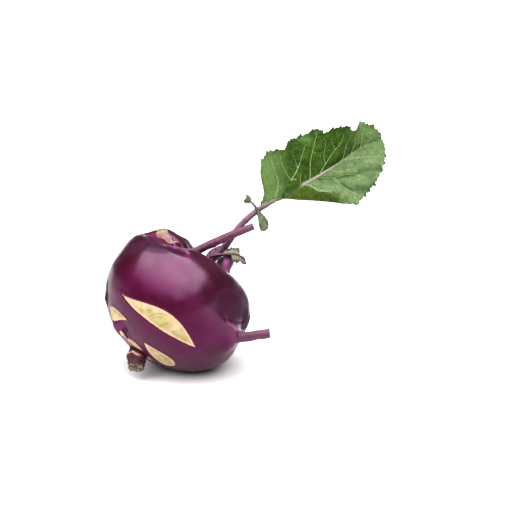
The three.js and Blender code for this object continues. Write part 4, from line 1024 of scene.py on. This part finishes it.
def leaf_material():
    """Leaf with a net of veins, painted as shaded dark yellowish green above the midrib, as lit grey-green
    below.
    """
    material, tree, shader, _ = new_material("leaf_green")
    vein, rib, half, toothed, curl, shade, light, edge, leaf_x, leaf_y = attributes(tree, *LEAF_CHANNELS)
    flat = add(tree, "CombineXYZ", {0: leaf_x, 1: leaf_y, 2: 0.0}).outputs[0]
    broad, mottle = noise(flat, 110.0), noise(flat, 380.0, 5.0, 0.65)
    shift = reckon("MULTIPLY", mottle, 0.003)
    warped = add(tree, "VectorMath", {0: flat, 1: shift}, operation="ADD").outputs[0]
    cells = {"Vector": warped, "Scale": 520.0}
    net = add(tree, "TexVoronoi", cells, feature="DISTANCE_TO_EDGE").outputs["Distance"]
    mottled = graded(mottle, 0.3, 0.7)
    # The upper half, painted darker as in shade.
    above = painted(
        SHADED_HALF_DEEP,
        (mottled, SHADED_HALF_GREEN),
        (graded(broad, 0.45, 0.7, 0.0, 0.6), SHADED_HALF_OLIVE),
        (graded(leaf_x, -0.006, 0.006, 0.6, 0.0), LEAF_FOOT),
        (graded(leaf_x, 0.03, 0.044, 0.0, 0.5), LEAF_TIP))
    # The lower half, painted paler as lit.
    below = painted(
        LIT_HALF_DARK,
        (mottled, LIT_HALF_PALE),
        (graded(broad, 0.5, 0.75, 0.0, 0.6), LIT_HALF_OLIVE),
        # Painted shade where the lower half rolls back.
        (curl, painted(CURL_SHADE_DARK, (mottled, CURL_SHADE_GREEN))))
    spine = painted(
        SPINE_ROSE,
        (graded(leaf_x, 0.022, 0.034), SPINE_BEIGE),
        (graded(leaf_x, 0.036, 0.048), LEAF_TIP),
        (graded(leaf_x, 0.012, 0.009), SPINE_FOOT))
    veined = reckon("MULTIPLY", graded(vein, -0.1, 0.5), graded(half, -0.1, 0.1, 0.55, 0.95))
    leaf = painted(
        below,
        (graded(half, -0.04, 0.04), above),
        # Painted shade, paler patches, and a painted highlight along the curl's edge.
        (reckon("MULTIPLY", shade, 0.9), LEAF_SHADE),
        (reckon("MULTIPLY", light, 0.8), LEAF_LIGHT),
        (edge, LEAF_CURL_HIGHLIGHT),
        (graded(net, 0.08, 0.01, 0.0, 0.22), LEAF_NET),
        (veined, LEAF_VEIN),
        (graded(rib, -0.1, 0.35, 0.0, 0.95), spine),
        (graded(toothed, 0.1, 1.2, 0.0, 0.75), LEAF_TOOTH))
    relief = reckon("MULTIPLY_ADD", graded(net, 0.0, 0.2), 0.8, mottle)
    finish(shader, {"Base Color": leaf, "Roughness": 0.5, "Specular IOR Level": 0.2}, relief, strength=0.6,
           depth=0.0006)
    return material


middle, thickness, blade_values = large_blade(rows=480, half_columns=50)
leaf_shell = sheet_shell(middle, thickness, blade_values, leaf_to_row)
make_piece("toothed_blade", [leaf_shell], LEAF_CHANNELS, leaf_material(), "leaf_blade")

# ---- The leaflets ---------------------------------------------------------------------------------------
# Two small leaflets stand on the leaf's stalk below the blade, as they do on many cabbage kinds: one stands
# up and curls, the other hangs down.
LEAFLET_DARK, LEAFLET_GREY = (62, 76, 50), (92, 104, 80)
LEAFLET_MARGIN, LEAFLET_VEIN = (56, 66, 44), (122, 126, 100)

# Name, stalk route and radii, and then what the young leaves' blades have, all in the leaf's frame.
LEAFLETS = [
    ("upper", [(-12.2, -5.8, -0.6), (-13.4, -3.8, 0.6), (-15.4, -1.6, 1.6), (-17, -0.2, 2)],
     [0.9, 0.5, 0.5, 0.4],
     [(-15.6, -1.4, 1.7), (-16.6, -0.6, 2), (-17.4, -0.1, 2.5), (-17.8, 0.2, 3.2)],
     (0.3, 1, 0), 4.2, 0.5, 1.5, 0.5, -1, 2, 0.0),
    ("lower", [(-12, -6.4, -0.8), (-11.2, -8.4, 0), (-10, -10.8, 0.6)], [1, 0.7, 0.4],
     [(-11.5, -7.4, -0.4), (-10.2, -10, 0.6), (-9.4, -13, 0.8), (-10, -16.2, 0.2)],
     (1, 0.4, 0.2), 4.8, 0.35, 2.5, 0.4, -1, 2, 0.0),
]


def leaflet_material():
    """Grey-green leaflet with pale veins."""
    material, tree, shader, place = new_material("leaflet_green")
    vein, away = attributes(tree, "vein", "away")
    mottle = noise(place, 600.0, 4.0, 0.6)
    leaf = painted(
        LEAFLET_DARK,
        (graded(mottle, 0.35, 0.65), LEAFLET_GREY),
        (graded(away, 0.7, 1.0, 0.0, 0.6), LEAFLET_MARGIN),
        (graded(vein, 0.3, 0.9, 0.0, 0.7), LEAFLET_VEIN))
    finish(shader, {"Base Color": leaf, "Roughness": 0.55}, mottle, strength=0.4, depth=0.0002)
    return material


# Its pale colour also paints its sheen, and its dark colour its shade line.
sage = stalk_material("sage_stalk", (0.1, 0.5, 0.5, 1.0), foot=(96, 78, 80), middle=(88, 92, 76),
                      tip=(80, 92, 66), pale=(118, 120, 104), dark=(50, 52, 44))
leaflet_green = leaflet_material()
for name, stalk_route, stalk_radii, *blade_form in LEAFLETS:
    stalk = stalk_shell(stalk_route, stalk_radii, rows=60, columns=28, ribs=4, rib_height=0.03,
                        sheen_side=4.4, shade_side=1.5, shade_reach=0.4, to_row=leaf_to_row)
    blade = small_blade(*blade_form, rows=110, columns=45, teeth=8, tooth_size=0.3, fullness=1.7,
                        to_row=leaf_to_row)
    skins = (sage, leaflet_green)
    add_stalked_leaf(f"stalk_leaflet_{name}", stalk, blade, skins, f"leaflet_{name}")

# ---- The floor, the light and the camera ----------------------------------------------------------------
# A plain pale floor, one large soft light high in front of the bulb, and a dim even room. The camera looks
# slightly down from the front, through a long lens.
FLOOR_HALF, FLOOR_GREY, FLOOR_ROUGHNESS = 6.0, 0.8, 0.8
LIGHT_FROM, LIGHT_SPREAD, LIGHT_ENERGY = (-8, 72), 104, 6.6
ROOM_COLOUR, ROOM_STRENGTH = (0.95, 0.97, 1.0, 1), 0.09
CAMERA_DISTANCE, CAMERA_ELEVATION, LENS = 0.708, 15.0, 100
LOOKS_AT = np.array([0.0341, 0.0025, 0.0572])
EXPOSURE, GAMMA = 0.4, 0.84

floor_mesh = bpy.data.meshes.new("floor")
corners = [(x * FLOOR_HALF, y * FLOOR_HALF, 0) for x, y in ((-1, -1), (1, -1), (1, 1), (-1, 1))]
floor_mesh.from_pydata(corners, [], [(0, 1, 2, 3)])
floor = bpy.data.objects.new("floor", floor_mesh)
bpy.context.scene.collection.objects.link(floor)
floor_material, _, floor_shader, _ = new_material("pale_floor")
plug(floor_shader, {"Base Color": (FLOOR_GREY, FLOOR_GREY, FLOOR_GREY, 1), "Roughness": FLOOR_ROUGHNESS})
floor_mesh.materials.append(floor_material)

world = bpy.data.worlds.new("room")
bpy.context.scene.world = world
world.use_nodes = True
plug(world.node_tree.nodes["Background"], {"Color": ROOM_COLOUR, "Strength": ROOM_STRENGTH})


def toward(azimuth, elevation):
    """The direction to a place round the object: azimuth from the front towards the right, elevation up."""
    a, e = np.radians(azimuth), np.radians(elevation)
    return np.array([np.sin(a) * np.cos(e), -np.cos(a) * np.cos(e), np.sin(e)])


key = bpy.data.lights.new("soft_light", "SUN")
key.energy, key.angle = LIGHT_ENERGY, np.radians(LIGHT_SPREAD)
key_object = bpy.data.objects.new("soft_light", key)
key_object.rotation_euler = Vector(toward(*LIGHT_FROM)).to_track_quat("Z", "Y").to_euler()
bpy.context.scene.collection.objects.link(key_object)

camera = bpy.data.objects.new("camera", bpy.data.cameras.new("camera"))
camera.data.lens, camera.data.sensor_width = LENS, 36
camera.location = LOOKS_AT + toward(0, CAMERA_ELEVATION) * CAMERA_DISTANCE
camera.rotation_euler = (np.radians(90 - CAMERA_ELEVATION), 0, 0)
bpy.context.scene.collection.objects.link(camera)
bpy.context.scene.camera = camera
view = bpy.context.scene.view_settings
view.view_transform, view.exposure, view.gamma = "Standard", EXPOSURE, GAMMA
